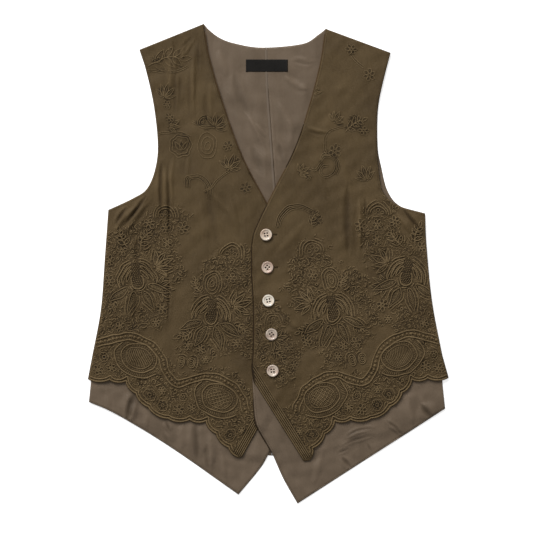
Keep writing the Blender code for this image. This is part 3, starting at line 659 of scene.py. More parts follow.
def back_outlines():
    """The back's two halves, either side of the centre seam, and the whole back."""
    seam, hem, neck = smooth(CENTRE_BACK), smooth(BACK_HEM), smooth(NECKLINE)
    foot, top = nearest(hem, CENTRE_BACK[-1]), nearest(neck, CENTRE_BACK[0])
    right = smooth(RIGHT.armhole) + [(x + BACK_INSET, y) for x, y in smooth(RIGHT.seam)]
    left = smooth(LEFT_BACK_ARMHOLE) + [(x - BACK_INSET, y) for x, y in smooth(LEFT.seam)]
    return {
        "back_right": neck[:top] + beside(seam, -GAP / 2) + hem[:foot][::-1] + right[::-1],
        "back_left": neck[top + 1:][::-1] + beside(seam, GAP / 2) + hem[foot + 1:] + left[::-1],
        "back": right + hem + left[::-1] + neck[::-1],
    }


SHAPES = outlines(OUTLINE_TOLERANCE)
ROUGH_SHAPES = outlines(LEVEL_TOLERANCE)
COVERS = {
    "back_right": ("underfront_right", "underfront_left"),
    "back_left": ("underfront_right", "underfront_left"),
    "underfront_right": ("front_right", "underfront_left"),
    "underfront_left": ("front_left",),
    "front_right": ("underfront_left",),
    "front_left": (),
}


# ---- heights


def face_of(name, cloth, drop=0.0):
    """A panel's outer face, or one a drop below it, as a function of points."""
    return lambda points: outer_face(name, points, cloth) - drop


def level(name, points):
    """A panel's underside: level over each lower layer, then falling to the one below."""
    if name.startswith("back"):
        return np.zeros(len(points))

    def stepped(shape, height):
        return height - np.maximum(0.0, beyond(points, ROUGH_SHAPES[shape]) - EDGE_MARGIN) / FALL

    z = np.maximum(0.0, stepped("back", LAYER))
    if name.endswith("left"):
        z = np.maximum(z, stepped("underfront_right", 2 * LAYER))
        z = np.maximum(z, stepped("front_right", 3 * LAYER))
    return z + (LAYER if name.startswith("front") else 0.0)


def fold_crest(fold):
    """The crest of a fold, with points about every step."""
    if len(fold.line) > 2:
        return smooth(fold.line, FOLD_STEP)
    a, b = (Vector(p) for p in fold.line)
    count = max(2, math.ceil((b - a).length / FOLD_STEP))
    return [tuple(a.lerp(b, k / count)) for k in range(count + 1)]


def fold_height(points, fold, crest, shoulder):
    """A fold's height: a ridge, or a trough between raised shoulders, tapering at both ends."""
    run = crest[-1] - crest[0]
    share = np.clip(((points - crest[0]) @ run) / (run @ run), 0.0, 1.0)
    full = np.sin(math.pi * share) ** FOLD_FULLNESS
    away = distances(points, crest) / np.maximum(fold.half * full, 1e-3)

    def bell(reach):
        return full * (0.5 + 0.5 * np.cos(math.pi * np.clip(away / reach, 0.0, 1.0)))

    height = fold.height * bell(1.0)
    if fold.height < 0.0 < shoulder:
        height = height - fold.height * shoulder * bell(SHOULDER_REACH)
    return height


def folded(points, name, folds, shoulder=0.8):
    """The height that a panel's folds add at each point."""
    total = np.zeros(len(points))
    for height, half, *line in folds.get(name, ()):
        fold = Fold(height, half, places(*line))
        crest = np.array(fold_crest(fold))
        reach = fold.half * SHOULDER_REACH
        near = ((points > crest.min(axis=0) - reach) & (points < crest.max(axis=0) + reach)).all(axis=1)
        if near.any():
            total[near] += fold_height(points[near], fold, crest, shoulder)
    return total


def painted_fold_shade(name, points):
    """A piece's painted fold shade on its panel: 0.5 on even cloth, less for the painted shade in a crease
    and a little more for the painted highlight on a ridge.
    """
    height = folded(points, "_".join(name.split("_")[:2]), CREASES, 0.0)
    return 0.5 + 0.5 * np.clip(np.where(height < 0.0, height, RIDGE_HIGHLIGHT * height), -2.0, 1.0)


def uncovered(name, points):
    """1 where a panel shows, easing to 0 where another lies on it."""
    shown = np.ones(len(points))
    for cover in COVERS[name]:
        shown *= eased(beyond(points, ROUGH_SHAPES[cover]), 0.5, 12.0)
    return shown


def worked(name, points):
    """1 in the closely embroidered ground, and 0 in plain cloth."""
    share = np.zeros(len(points))
    for zone in WORKED.get(name, ()):
        share = np.maximum(share, 1.0 - eased(beyond(points, zone), 0.0, 5.0))
    return share


BILLOW_LENGTH = {"back": 34.0, "underfront": 46.0, "front": 58.0}
PANEL_SEEDS = {"back_right": 11, "back_left": 11, "underfront_right": 23, "underfront_left": 31,
               "front_right": 43, "front_left": 59}


def billow(name, points, height):
    """Broad soft waves of the cloth that lift it and never press into the layer below."""
    kind = name.split("_")[0]
    wave = ripple(points, BILLOW_LENGTH[kind], PANEL_SEEDS[name])
    return height * uncovered(name, points) * np.clip(0.5 + 0.33 * wave, 0.0, 1.2)


def underside(name, points, settings):
    """The inner face of a panel, in mm."""
    z = level(name, points)
    if not name.startswith("back"):
        z = z + folded(points, name, FOLDS) + billow(name, points, settings.billow / MM)
    return z


def outer_face(name, points, settings):
    """The outer face of a panel, in mm."""
    lowest = underside(name, points, settings) + THINNEST
    z = lowest - THINNEST + CLOTH
    shown = uncovered(name, points)
    if name.startswith("back"):
        z = z + folded(points, name, FOLDS) + billow(name, points, settings.billow / MM)
    pucker = settings.pucker / MM * (worked(name, points) * 0.9 + 0.1)
    small = ripple(points, 9.0, PANEL_SEEDS[name] + 1) + 0.6 * ripple(points, 5.5, PANEL_SEEDS[name] + 2)
    crumple = settings.crumple / MM * ripple(points, 24.0, PANEL_SEEDS[name] + 5)
    z = z + shown * (CREASE_DEPTH * folded(points, name, CREASES) + crumple
                     + pucker * np.clip(small, -1.4, 1.6))
    return np.maximum(z, lowest)


# ---- nodes written as expressions


def method(operation, swapped=False):
    """An operator or method of a term that adds a Math node."""
    def apply(self, other=0.0):
        first, second = (other, self) if swapped else (self, other)
        return self.nodes.add("ShaderNodeMath", {0: first, 1: second}, operation=operation)
    return apply


class Term:
    """A socket in an expression: each operator adds a Math node to its tree."""

    def __init__(self, nodes, socket):
        self.nodes, self.socket = nodes, socket

    __add__ = __radd__ = method("ADD")
    __sub__ = method("SUBTRACT")
    __rsub__ = method("SUBTRACT", swapped=True)
    __mul__ = __rmul__ = method("MULTIPLY")
    sine = method("SINE")

    def clamped(self):
        return self.nodes.add("ShaderNodeClamp", {0: self})


class Nodes:
    """Adds nodes to a tree: a type, the values or links of its sockets, then its settings."""

    def __init__(self, tree):
        self.tree = tree

    def add(self, kind, sockets=None, output=0, **settings):
        node = self.tree.nodes.new(kind)
        for name, value in settings.items():
            setattr(node, name, value)
        for key, value in (sockets or {}).items():
            self.feed(node.inputs[key], value)
        return Term(self, node.outputs[output])

    def feed(self, socket, value):
        if isinstance(value, Term):
            self.tree.links.new(value.socket, socket)
        elif value is not None:
            socket.default_value = value


class Look(Nodes):
    """A finish being made on a Principled shader."""

    def __init__(self, name):
        self.material = bpy.data.materials.new(name)
        self.material.use_nodes = True
        super().__init__(self.material.node_tree)
        self.place = self.add("ShaderNodeTexCoord", output="Object")

    def axis(self, name):
        return self.add("ShaderNodeSeparateXYZ", {0: self.place}, name)

    def wave(self, axis, pitch):
        """Even waves across an axis."""
        return (self.axis(axis) * (TURN / pitch)).sine()

    def noise(self, scale, detail=2.0, stretch=None):
        where = self.place
        if stretch:
            where = self.add("ShaderNodeMapping", {"Vector": where, "Scale": stretch})
        return self.add("ShaderNodeTexNoise",
                        {"Vector": where, "Scale": scale, "Detail": detail, "Roughness": 0.55})

    def attribute(self, name):
        return self.add("ShaderNodeAttribute", output="Fac", attribute_name=name)

    def blend(self, factor, first, second):
        return self.add("ShaderNodeMix", {0: factor, 6: first, 7: second}, 2, data_type="RGBA")

    def bump(self, height, distance, normal=None):
        return self.add("ShaderNodeBump",
                        {"Height": height, "Distance": distance, "Strength": 1.0, "Normal": normal})

    def finish(self, base, roughness, normal, shine, **others):
        """Feed the shader: another socket's name has underscores for its spaces."""
        sockets = {"Base Color": base, "Roughness": roughness, "Normal": normal,
                   "Specular IOR Level": shine}
        sockets.update({name.replace("_", " "): value for name, value in others.items()})
        for name, value in sockets.items():
            self.feed(self.tree.nodes["Principled BSDF"].inputs[name], value)
        return self.material


def toned(colour, share, warmth=0.0):
    """A colour made lighter or darker, and warmer by less blue, with its alpha."""
    parts = (1.0, 1.0 - 0.3 * warmth, 1.0 - warmth)
    return tuple(min(1.0, c * share * part) for c, part in zip(colour, parts)) + (1.0,)


PIP_SHADE_PLACE = 0.55  # where round a cord a pip takes its painted light and shade from: 0.75 is the lit crown
THREAD_PITCH = 0.55 * MM
SATIN_PITCH = 0.4 * MM
TWIST_PITCH = 1.5 * MM
# spacing of the painted light and shade of beads along a cord
BEAD_SHADE_PITCH = 4.4 * MM
WHITE = (1.0, 1.0, 1.0, 1.0)


def woven(look, pitch):
    """The relief of a plain weave."""
    return look.wave("X", pitch) * look.wave("Y", pitch)


def front_finish(colour):
    """Crepe georgette with a painted shade on the closely worked ground between the cords, which is rougher
    there, and a painted shade in its creases and a painted highlight on its ridges.
    """
    look = Look("corded_cloth")
    broad = look.noise(16.0, 3.0)
    slub = look.noise(300.0, 2.0, (1.0, 0.35, 1.0))
    ground = look.attribute("worked")
    # painted shade in creases and painted highlight on ridges, from the fold attribute
    tone = (broad * 0.8 + slub * 0.22 + look.attribute("fold_shade") * 0.55 - 0.285).clamped()
    cloth = look.blend(tone, toned(colour, 0.36, 0.5), toned(colour, 1.58, -0.08))
    # the dark colours of the painted shade on the worked ground between the cords
    deep = look.blend(look.noise(48.0, 2.0), toned(colour, 0.12, 0.3), toned(colour, 0.52, 0.15))
    base = look.blend(ground, cloth, deep)
    crepe = look.bump(woven(look, THREAD_PITCH), 0.05 * MM)
    grain = look.bump(look.noise(700.0, 3.0), 0.3 * MM, crepe)
    return look.finish(base, 0.55 + broad * 0.14 + ground * 0.15, grain, 0.2)


def satin_finish(colour):
    """The plain satin of the back and the under-fronts, with painted sheen streaks, a painted shade in its
    creases and a painted highlight on its ridges.
    """
    look = Look("plain_satin")
    broad = look.noise(20.0, 3.0)
    # painted sheen streaks
    sheen_streak = look.noise(160.0, 2.0, (1.0, 0.12, 1.0))
    # painted shade in creases and painted highlight on ridges, from the fold attribute
    tone = (broad * 0.39 + sheen_streak * 0.13 + look.attribute("fold_shade") * 0.36 + 0.06).clamped()
    base = look.blend(tone, toned(colour, 0.4, 0.2), toned(colour, 1.56, -0.02))
    rows = (look.axis("Y") * (TURN / SATIN_PITCH) + look.axis("X") * (TURN / SATIN_PITCH * 0.5)).sine()
    satin = look.bump(rows, 0.03 * MM)
    soft = look.bump(look.noise(70.0, 2.0), 0.35 * MM, satin)
    return look.finish(base, 0.42 + broad * 0.14, soft, 0.25)


def cord_finish(colour):
    """Twisted embroidery thread, with a painted shade between its strands, a painted highlight on its crown,
    painted shade on its flanks and painted light and shade of beads along it.
    """
    look = Look("embroidery_cord")
    # the strands' relief, also painted as shade between the strands
    twist_relief_and_shade = (look.attribute("along") * (TURN / TWIST_PITCH) + look.attribute("around") * TURN).sine()
    patch = look.noise(48.0, 2.0)
    fibre = look.noise(1500.0, 2.0)
    # painted highlight on the crown of the cord and painted shade on its flanks
    lit_crown = (look.attribute("around") * TURN).sine() * -0.5 + 0.5
    # painted light and shade of beads along the cord
    bead = (look.attribute("along") * (TURN / BEAD_SHADE_PITCH) + patch * 9.0).sine()
    broad = look.noise(16.0, 3.0)
    tone = patch * 0.7 + broad * 0.5 + fibre * 0.22 + twist_relief_and_shade * 0.09 + bead * 0.08 + lit_crown * 0.5
    # painted shade in creases and painted highlight on ridges, from the fold attribute
    tone = (tone + look.attribute("fold_shade") * 0.5 - 0.765).clamped()
    base = look.blend(tone, toned(colour, 0.38, 0.5), toned(colour, 1.46, -0.12))
    strands = look.bump(twist_relief_and_shade, 0.1 * MM)
    fuzz = look.bump(fibre, 0.08 * MM, strands)
    return look.finish(base, 0.5 + fibre * 0.2, fuzz, 0.2)


def thread_finish(name, *colour):
    """Plain sewing thread, its colour from 0 to 255."""
    look, colour = Look(name), everyday(*colour)
    fibre = look.noise(2200.0, 2.0)
    base = look.blend(fibre, toned(colour, 0.75), toned(colour, 1.15))
    return look.finish(base, 0.55 + fibre * 0.2, look.bump(fibre, 0.05 * MM), 0.12)


def label_finish(colour):
    """A close black satin weave with fine cross ribs."""
    look = Look("label_cloth")
    ribs = look.wave("X", 0.5 * MM)
    rows = look.wave("Y", 0.35 * MM)
    worn = look.noise(90.0, 3.0)
    base = look.blend((worn * 0.7 + ribs * 0.12 + 0.1).clamped(), toned(colour, 0.7), toned(colour, 1.5))
    weave = look.bump(ribs * 0.6 + rows * 0.4, 0.05 * MM)
    return look.finish(base, 0.6 + worn * 0.15, weave, 0.15)


def shell_finish(name, colour, cloud):
    """Polished shell: pearly bands, a cloud of warmer colour and a painted shade at its rim."""
    look = Look(name)
    swirl = look.noise(150.0, 3.0)
    bands = (look.axis("X") * 900.0 + look.axis("Y") * 420.0 + swirl * 9.0).sine() * 0.5 + 0.5
    glow = look.noise(90.0, 1.0)
    pale = look.blend((bands * 0.4 + swirl * 1.6 - 0.5).clamped(), toned(colour, 0.72),
                      toned(colour, 1.14))
    warm = look.blend((glow * 2.4 - 0.85).clamped(), pale, toned(cloud, 1.0))
    # painted shade towards the button's rim
    rim_shaded = look.blend(look.attribute("rim") * 0.8, warm, toned(cloud, 0.3))
    return look.finish(rim_shaded, 0.14 + swirl * 0.14, look.bump(bands, 0.02 * MM), 0.6, Coat_Weight=0.5,
                       Coat_Roughness=0.08)


# ---- meshes


def linked(name, points, edges=(), faces=()):
    """A named object from points in mm and edges or faces."""
    mesh = bpy.data.meshes.new(name)
    mesh.from_pydata((np.asarray(points) * MM).tolist(), list(edges), np.asarray(faces).tolist())
    obj = bpy.data.objects.new(name, mesh)
    bpy.context.scene.collection.objects.link(obj)
    return obj


def mark(obj, name, values):
    """Keep a value for each point of a mesh, for its finish to read."""
    obj.data.attributes.new(name, "FLOAT", "POINT").data.foreach_set("value", values)


def hex_grid(low, high, pitch):
    """Points in staggered rows over a rectangle."""
    rows = []
    for n, y in enumerate(np.arange(low[1], high[1], pitch * math.sqrt(3) / 2)):
        along = np.arange(low[0] + (n % 2) * pitch / 2, high[0], pitch)
        rows.append(np.column_stack([along, np.full(len(along), y)]))
    return np.vstack(rows)


def grid_over(outline, pitch):
    return hex_grid(outline.min(axis=0), outline.max(axis=0), pitch)


def plan_mesh(loops, spots):
    """Triangles that fill the first loop less the others, and where each loop's points went."""
    points, edges = [], []
    for loop in loops:
        start = len(points)
        points += [Vector(p) for p in loop]
        edges += [(start + k, start + (k + 1) % len(loop)) for k in range(len(loop))]
    rim = len(points)
    points += [Vector(p) for p in spots]
    verts, _, faces, origins, *_ = delaunay_2d_cdt(points, edges, [], 1, 1e-4)
    plan = np.array(tuples(verts))
    faces = np.array(faces)
    centres = plan[faces].mean(axis=1)
    fits = within(centres, loops[0])
    for hole in loops[1:]:
        fits &= ~within(centres, hole)
    faces = faces[fits]
    a, b, c = (plan[faces[:, k]] for k in range(3))
    turned = (b - a)[:, 0] * (c - a)[:, 1] - (b - a)[:, 1] * (c - a)[:, 0] < 0
    faces[turned] = faces[turned][:, ::-1]
    landed = np.zeros(rim, dtype=int)
    for index, sources in enumerate(origins):
        for source in sources:
            if source < rim:
                landed[source] = index
    return plan, faces, landed


def wall(name, loops, upper_spots, lower_spots, upper, lower, material):
    """A closed wall: an outer and an inner face that meet halfway up along every loop.

    It returns the object and its points' places in plan.
    """
    top, top_faces, top_rim = plan_mesh(loops, upper_spots)
    base, base_faces, base_rim = plan_mesh(loops, lower_spots)
    high, low = upper(top), lower(base)
    high[top_rim] = (high[top_rim] + lower(top[top_rim])) / 2
    joined = np.arange(len(base)) + len(top)
    joined[base_rim] = top_rim
    points = np.vstack([np.column_stack([top, high]), np.column_stack([base, low])])
    faces = np.vstack([top_faces, joined[base_faces][:, ::-1]])
    used, faces = np.unique(faces, return_inverse=True)
    obj = linked(name, points[used], faces=faces.reshape(-1, 3))
    obj.data.shade_smooth()
    obj.data.materials.append(material)
    return obj, points[used][:, :2]


def inset_spots(loop, inset):
    """Points a little inside a closed loop, for a rounded edge."""
    ring = tuples(loop) + [tuple(loop[0])]
    spots = np.array(beside(ring, inset)[:-1] + beside(ring, -inset)[:-1])
    return spots[well_within(spots, loop, inset * 0.8)]


def cloth_panel(name, settings, material, holes=()):
    """A panel of cloth as a thin closed shell, finely meshed where it shows."""
    outline = SHAPES[name]

    def spread(step, margin):
        points = grid_over(outline, step / MM)
        points = points[within(points, outline)]
        fits = ring_distance(points, outline) > margin
        for hole in holes:
            fits &= beyond(points, hole) > HOLE_MARGIN
        points = points[fits]
        return points, np.any([well_within(points, ROUGH_SHAPES[cover], COVER_MARGIN)
                               for cover in COVERS[name]] or [np.zeros(len(points), bool)], axis=0)

    fine, fine_hidden = spread(settings.fine_step, FINE_MARGIN)
    coarse, coarse_hidden = spread(settings.coarse_step, COARSE_MARGIN)
    inset = inset_spots(outline, EDGE_ROUND)
    spots = np.vstack([fine[~fine_hidden], coarse[coarse_hidden], inset])
    obj, plan = wall(name + "_cloth", [outline, *holes], spots, np.vstack([coarse, inset]),
                     face_of(name, settings), lambda p: underside(name, p, settings), material)
    # the painted shade and highlight of the panel's folds
    mark(obj, "fold_shade", painted_fold_shade(name, plan))
    return obj, plan


# ---- geometry node trees


def node_group(name, inputs):
    """A geometry node tree with named inputs: its nodes and a term for each input."""
    tree = bpy.data.node_groups.new(name, "GeometryNodeTree")
    tree.interface.new_socket("Geometry", in_out="OUTPUT", socket_type="NodeSocketGeometry")
    for title, kind in {"Geometry": "Geometry", **inputs}.items():
        tree.interface.new_socket(title, in_out="INPUT", socket_type="NodeSocket" + kind)
    nodes = Nodes(tree)
    entry = tree.nodes.new("NodeGroupInput")
    return nodes, {socket.name: Term(nodes, socket) for socket in entry.outputs if socket.name}


def close_group(nodes, geometry, material):
    """End a tree: smooth shading, real instances and a finish."""
    smooth_shaded = nodes.add("GeometryNodeSetShadeSmooth", {"Geometry": geometry})
    real = nodes.add("GeometryNodeRealizeInstances", {"Geometry": smooth_shaded})
    finished = nodes.add("GeometryNodeSetMaterial", {"Geometry": real, "Material": material})
    leave = nodes.tree.nodes.new("NodeGroupOutput")
    nodes.feed(leave.inputs[0], finished)
    return nodes.tree


def named(nodes, name):
    return nodes.add("GeometryNodeInputNamedAttribute", {"Name": name}, data_type="FLOAT")


def kept_as(nodes, geometry, name, value):
    return nodes.add("GeometryNodeStoreNamedAttribute", {"Geometry": geometry, "Name": name, "Value": value},
                     data_type="FLOAT", domain="POINT")


def combined(nodes, x, y, z):
    return nodes.add("ShaderNodeCombineXYZ", {0: x, 1: y, 2: z})


def pips_on(nodes, points, pip, rotation, scale):
    return nodes.add("GeometryNodeInstanceOnPoints",
                     {"Points": points, "Instance": pip, "Rotation": rotation, "Scale": scale})


def cord_tree():
    """Cords along edges: flattened tubes, as thick as each point's girth says."""
    nodes, given = node_group("cords", {"Half Width": "Float", "Half Height": "Float", "Sides": "Int",
                                        "Finish": "Material"})
    path = nodes.add("GeometryNodeMeshToCurve", {"Mesh": given["Geometry"]})
    path = kept_as(nodes, path, "along", nodes.add("GeometryNodeSplineParameter", output="Length"))
    path = nodes.add("GeometryNodeSetCurveNormal", {"Curve": path}, mode="Z_UP")
    ring = nodes.add("GeometryNodeCurvePrimitiveCircle", {"Resolution": given["Sides"], "Radius": 1.0})
    shape = combined(nodes, given["Half Width"], given["Half Height"], 1.0)
    ring = nodes.add("GeometryNodeTransform", {"Geometry": ring, "Scale": shape})
    ring = kept_as(nodes, ring, "around", nodes.add("GeometryNodeSplineParameter", output="Factor"))
    tube = nodes.add("GeometryNodeCurveToMesh",
                     {"Curve": path, "Profile Curve": ring, "Scale": named(nodes, "girth"),
                      "Fill Caps": True})
    return close_group(nodes, tube, given["Finish"])


def bead_tree():
    """Beads and seed stitches: a pip on each point, turned and drawn out as the point says."""
    nodes, given = node_group("beads", {"Width": "Float", "Flatness": "Float", "Sides": "Int",
                                        "Unevenness": "Float", "Seed": "Int", "Finish": "Material"})
    pip = nodes.add("GeometryNodeMeshUVSphere", {"Segments": given["Sides"], "Rings": 4, "Radius": 0.5})
    uneven = nodes.add("FunctionNodeRandomValue",
                       {2: 1.0 - given["Unevenness"], 3: 1.0 + given["Unevenness"],
                        "Seed": given["Seed"]}, output=1, data_type="FLOAT")
    size = named(nodes, "girth") * given["Width"] * uneven
    turn = combined(nodes, 0.0, 0.0, named(nodes, "turn"))
    turn = nodes.add("FunctionNodeEulerToRotation", {0: turn})
    scale = combined(nodes, size * named(nodes, "drawn"), size, size * given["Flatness"])
    pips = pips_on(nodes, given["Geometry"], pip, turn, scale)
    # every pip takes one place round a cord for the painted light and shade of the cord finish
    return close_group(nodes, kept_as(nodes, pips, "around", PIP_SHADE_PLACE), given["Finish"])


def stitch_tree():
    """Machine stitches: short threads laid end to end along edges."""
    nodes, given = node_group("stitches", {"Pitch": "Float", "Width": "Float", "Finish": "Material"})
    path = nodes.add("GeometryNodeMeshToCurve", {"Mesh": given["Geometry"]})
    path = nodes.add("GeometryNodeResampleCurve", {"Curve": path, "Length": given["Pitch"]}, mode="LENGTH")
    pip = nodes.add("GeometryNodeMeshUVSphere", {"Segments": 6, "Rings": 4, "Radius": 0.5})
    along = nodes.add("FunctionNodeAlignRotationToVector",
                      {"Vector": nodes.add("GeometryNodeInputTangent")}, axis="X")
    scale = combined(nodes, given["Pitch"] * 0.8, given["Width"], given["Width"] * 0.8)
    return close_group(nodes, pips_on(nodes, path, pip, along, scale), given["Finish"])


TREES = {"cords": cord_tree, "beads": bead_tree, "stitches": stitch_tree}


def grown(obj, title, values):
    """Run a node tree on an object and keep what it makes as its own plain mesh."""
    tree = bpy.data.node_groups.get(title) or TREES[title]()
    modifier = obj.modifiers.new(title, "NODES")
    modifier.node_group = tree
    for item in tree.interface.items_tree:
        if item.in_out == "INPUT" and item.name in values:
            modifier[item.identifier] = values[item.name]
    bpy.context.view_layer.update()
    mesh = bpy.data.meshes.new_from_object(obj.evaluated_get(bpy.context.evaluated_depsgraph_get()))
    obj.modifiers.clear()
    source = obj.data
    obj.data = mesh
    bpy.data.meshes.remove(source)
    if not mesh.polygons:
        raise RuntimeError(f"{obj.name} came out empty")
    return obj


# ---- embroidery motifs


def heading(degrees):
    """The direction at an angle, as a step of length 1."""
    return Vector((math.cos(math.radians(degrees)), math.sin(math.radians(degrees))))


def leaf(root, length, width, turn):
    """A pointed leaf: two bowed sides that meet at its root and its tip."""
    along = heading(turn)
    shares = [k / LEAF_POINTS for k in range(LEAF_POINTS + 1)]
    return [[tuple(Vector(root) + along * length * t
                   + along.orthogonal() * half * math.sin(math.pi * t**LEAF_FULLNESS)) for t in shares]
            for half in (width / 2, -width / 2)]


def leaf_veins(root, length, width, turn, pairs):
    """A leaf's midrib and its slanting side veins."""
    along, foot = heading(turn), Vector(root)
    lines = [[tuple(foot + along * length * t) for t in (0.08, 0.3, 0.6, 0.86)]]
    for n in range(pairs):
        t = 0.16 + 0.62 * n / pairs
        half = width / 2 * math.sin(math.pi * (t + 0.1)**LEAF_FULLNESS) * 0.72
        start = foot + along * length * t
        for way in (-1, 1):
            end = start + along * half * 0.9 + along.orthogonal() * half * way
            lines.append([tuple(start.lerp(end, k / 2)) for k in range(3)])
    return lines


def waved(centre, radius, lobes):
    """A ring with shallow lobes."""
    line = []
    for angle in np.radians(np.arange(0, 361, 5)):
        reach = radius * (0.94 + 0.06 * math.cos(lobes * angle))
        line.append((centre[0] + reach * math.cos(angle), centre[1] + reach * math.sin(angle)))
    return line


def rose(motif):
    """A round flower: six small loops about an eye."""
    centre = Vector((motif.x, motif.y))
    lines = [(circle(centre, motif.size * 0.2, 30), 0.65)]
    for turn in range(0, 360, 60):
        turn += motif.turn
        spot = centre + heading(turn) * motif.size * 0.64
        lines.append((arc(spot, (motif.size * 0.36, motif.size * 0.29), (0, 360), turn, step=20), 0.6))
    return lines, []


def bloom(motif):
    """A wheel: two rings about a crown of leaves."""
    centre, size = Vector((motif.x, motif.y)), motif.size
    lines = [(waved(centre, size * share, 7), 0.7) for share in (1.0, 0.78)]
    root = centre + Vector((0.0, -size * 0.4))
    for n in (-1, 0, 1):
        lines += [(side, 0.65) for side in leaf(root, size * 0.9, size * 0.34, motif.turn + 38.0 * n)]
    return lines, []


def eyelet(motif):
    """A stitched eyelet hole within a wheel."""
    centre = (motif.x, motif.y)
    lines = [(waved(centre, motif.size, 6), 0.6), (circle(centre, EYELET + 0.9, 15), 0.6)]
    reach = (motif.size + EYELET + 1.0) / 2
    knots = [(motif.x + reach * math.cos(angle), motif.y + reach * math.sin(angle), 0.42, 1.0)
             for angle in (TURN * k / 8 for k in range(8))]
    return lines, knots


def oval(motif):
    """An egg of cords one within another."""
    lines = [(arc((motif.x, motif.y), (motif.size * share, motif.size * share * 0.7), (0, 360),
                  motif.turn), 0.7) for share in (1.0, 0.66, 0.3)]
    return lines, []


def arches(motif):
    """Two half rings over a cluster of small loops."""
    centre = Vector((motif.x, motif.y))
    swing = Matrix.Rotation(math.radians(motif.turn), 2)
    lines = [(arc(centre, (motif.size * share, motif.size * share * 0.9), (-98, 98), motif.turn), 0.8)
             for share in (1.0, 0.76)]
    for spot in ((0.12, -0.3), (0.42, 0.0), (0.12, 0.3)):
        spot = centre + swing @ Vector(spot) * motif.size
        lines.append((circle(spot, motif.size * 0.16, 24), 0.6))
    return lines, []


def fan(motif):
    """Five leaves spread from one root."""
    lines = []
    for n in (-2, -1, 0, 1, 2):
        turn = motif.turn + n * 31.0
        length = motif.size * (1.0 - 0.13 * abs(n))
        shape = Vector((motif.x, motif.y)) + heading(turn) * 2.4, length, length * 0.3, turn
        lines += [(side, 0.75) for side in leaf(*shape)] + [(vein, 0.5) for vein in leaf_veins(*shape, 0)]
    return lines, [(motif.x, motif.y, 0.8, 1.0)]


def spray(motif):
    """A bowed stem with paired leaflets and buds."""
    along, size = heading(motif.turn), motif.size
    across = along.orthogonal()

    def stem(t):
        bow = across * size * 0.16 * math.sin(math.pi * t)
        return Vector((motif.x, motif.y)) + along * size * t + bow

    sides = []
    for t in (0.18, 0.42, 0.64):
        for way in (-1, 1):
            length = size * (0.4 - 0.18 * t)
            sides += leaf(stem(t), length, length * 0.42, motif.turn + way * 48.0)
    sides += leaf(stem(0.8), size * 0.28, size * 0.13, motif.turn)
    buds = [stem(t) + across * way * size * 0.17 for t in (0.3, 0.54, 0.74) for way in (-1, 1)]
    lines = [([tuple(stem(k / 10)) for k in range(9)], 0.8)] + [(side, 0.7) for side in sides]
    return lines, [(*bud, 0.55, 1.0) for bud in buds]


DRAWN = {draw.__name__: draw for draw in (rose, bloom, eyelet, oval, arches, fan, spray)}


def shared_motifs(side):
    """The motifs that both fronts have, in the hem border and over it, mirrored for the left."""
    hem = [Motif(kind, *border_place(side, across, down, n), size, turn)
           for n in range(BORDER_REPEATS) for kind, across, down, size, turn in HEM_MOTIFS]
    paired = [Motif(*row) for row in PAIRED_MOTIFS]
    if side.sign > 0:
        return hem + paired
    across, up = MIRROR_SHIFT
    paired = [motif._replace(x=across - motif.x, y=motif.y + up) for motif in paired]
    return [motif._replace(turn=180.0 - motif.turn) for motif in hem + paired]


def medallion_arc(centre, turn, scale, span=(0, 360)):
    """Part of an oval about a medallion, as large as the scale says."""
    return arc(centre, [half * scale for half in MEDALLION_HALF], span, turn)


def rib_lines(side):
    """The ribs of the band along a front's cutaway edge."""
    top, foot = (Vector(p) for p in side.cutaway)
    start = top + (top - foot) * RIB_HEADROOM
    fine = [tuple(start.lerp(foot, k / RIB_POINTS)) for k in range(RIB_POINTS + 1)]
    return [beside(fine, -side.sign * (CORD_INSET + RIB_PITCH * n)) for n in range(RIB_COUNT)]


# ---- laying the embroidery


class Ground:
    """A fine grid over a front that remembers which spots are taken."""

    CELL = 0.5
    MARGIN = 20.0

    def __init__(self, outline):
        self.low = outline.min(axis=0) - self.MARGIN
        size = np.ceil((outline.max(axis=0) + self.MARGIN - self.low) / self.CELL).astype(int) + 1
        self.taken = np.zeros(size, dtype=bool)

    def clipped(self, cells):
        return np.clip(cells, 0, np.array(self.taken.shape) - 1)

    def cells(self, points):
        return self.clipped(((np.asarray(points) - self.low) / self.CELL).round().astype(int))

    def free(self, points):
        return ~self.taken[tuple(self.cells(points).T)]

    def take(self, points, reach):
        """Take every cell within reach of any of the points."""
        span = int(math.ceil(reach / self.CELL))
        steps = np.arange(-span, span + 1)
        disc = np.array([(i, j) for i in steps for j in steps if math.hypot(i, j) * self.CELL <= reach])
        cells = self.clipped(self.cells(points)[:, None] + disc)
        self.taken[cells[..., 0], cells[..., 1]] = True

    def take_all_but(self, test):
        """Take every cell that fails a test, tried in blocks of four."""
        rows, columns = (np.arange(0, count, 2) for count in self.taken.shape)
        spots = np.stack(np.meshgrid(rows, columns, indexing="ij"), axis=-1) * self.CELL + self.low
        fits = test(spots.reshape(-1, 2)).reshape(len(rows), len(columns)).repeat(2, 0).repeat(2, 1)
        self.taken |= ~fits[:self.taken.shape[0], :self.taken.shape[1]]


Cord = namedtuple("Cord", "line girth")
Section = namedtuple("Section", "width rise sides")
Bead = namedtuple("Bead", "flatness sides unevenness seed")


def strays(points, length, seed):
    """How far a wandering line strays at each point, across and up."""
    return np.column_stack([ripple(points, length, seed), ripple(points, length, seed + 1)])


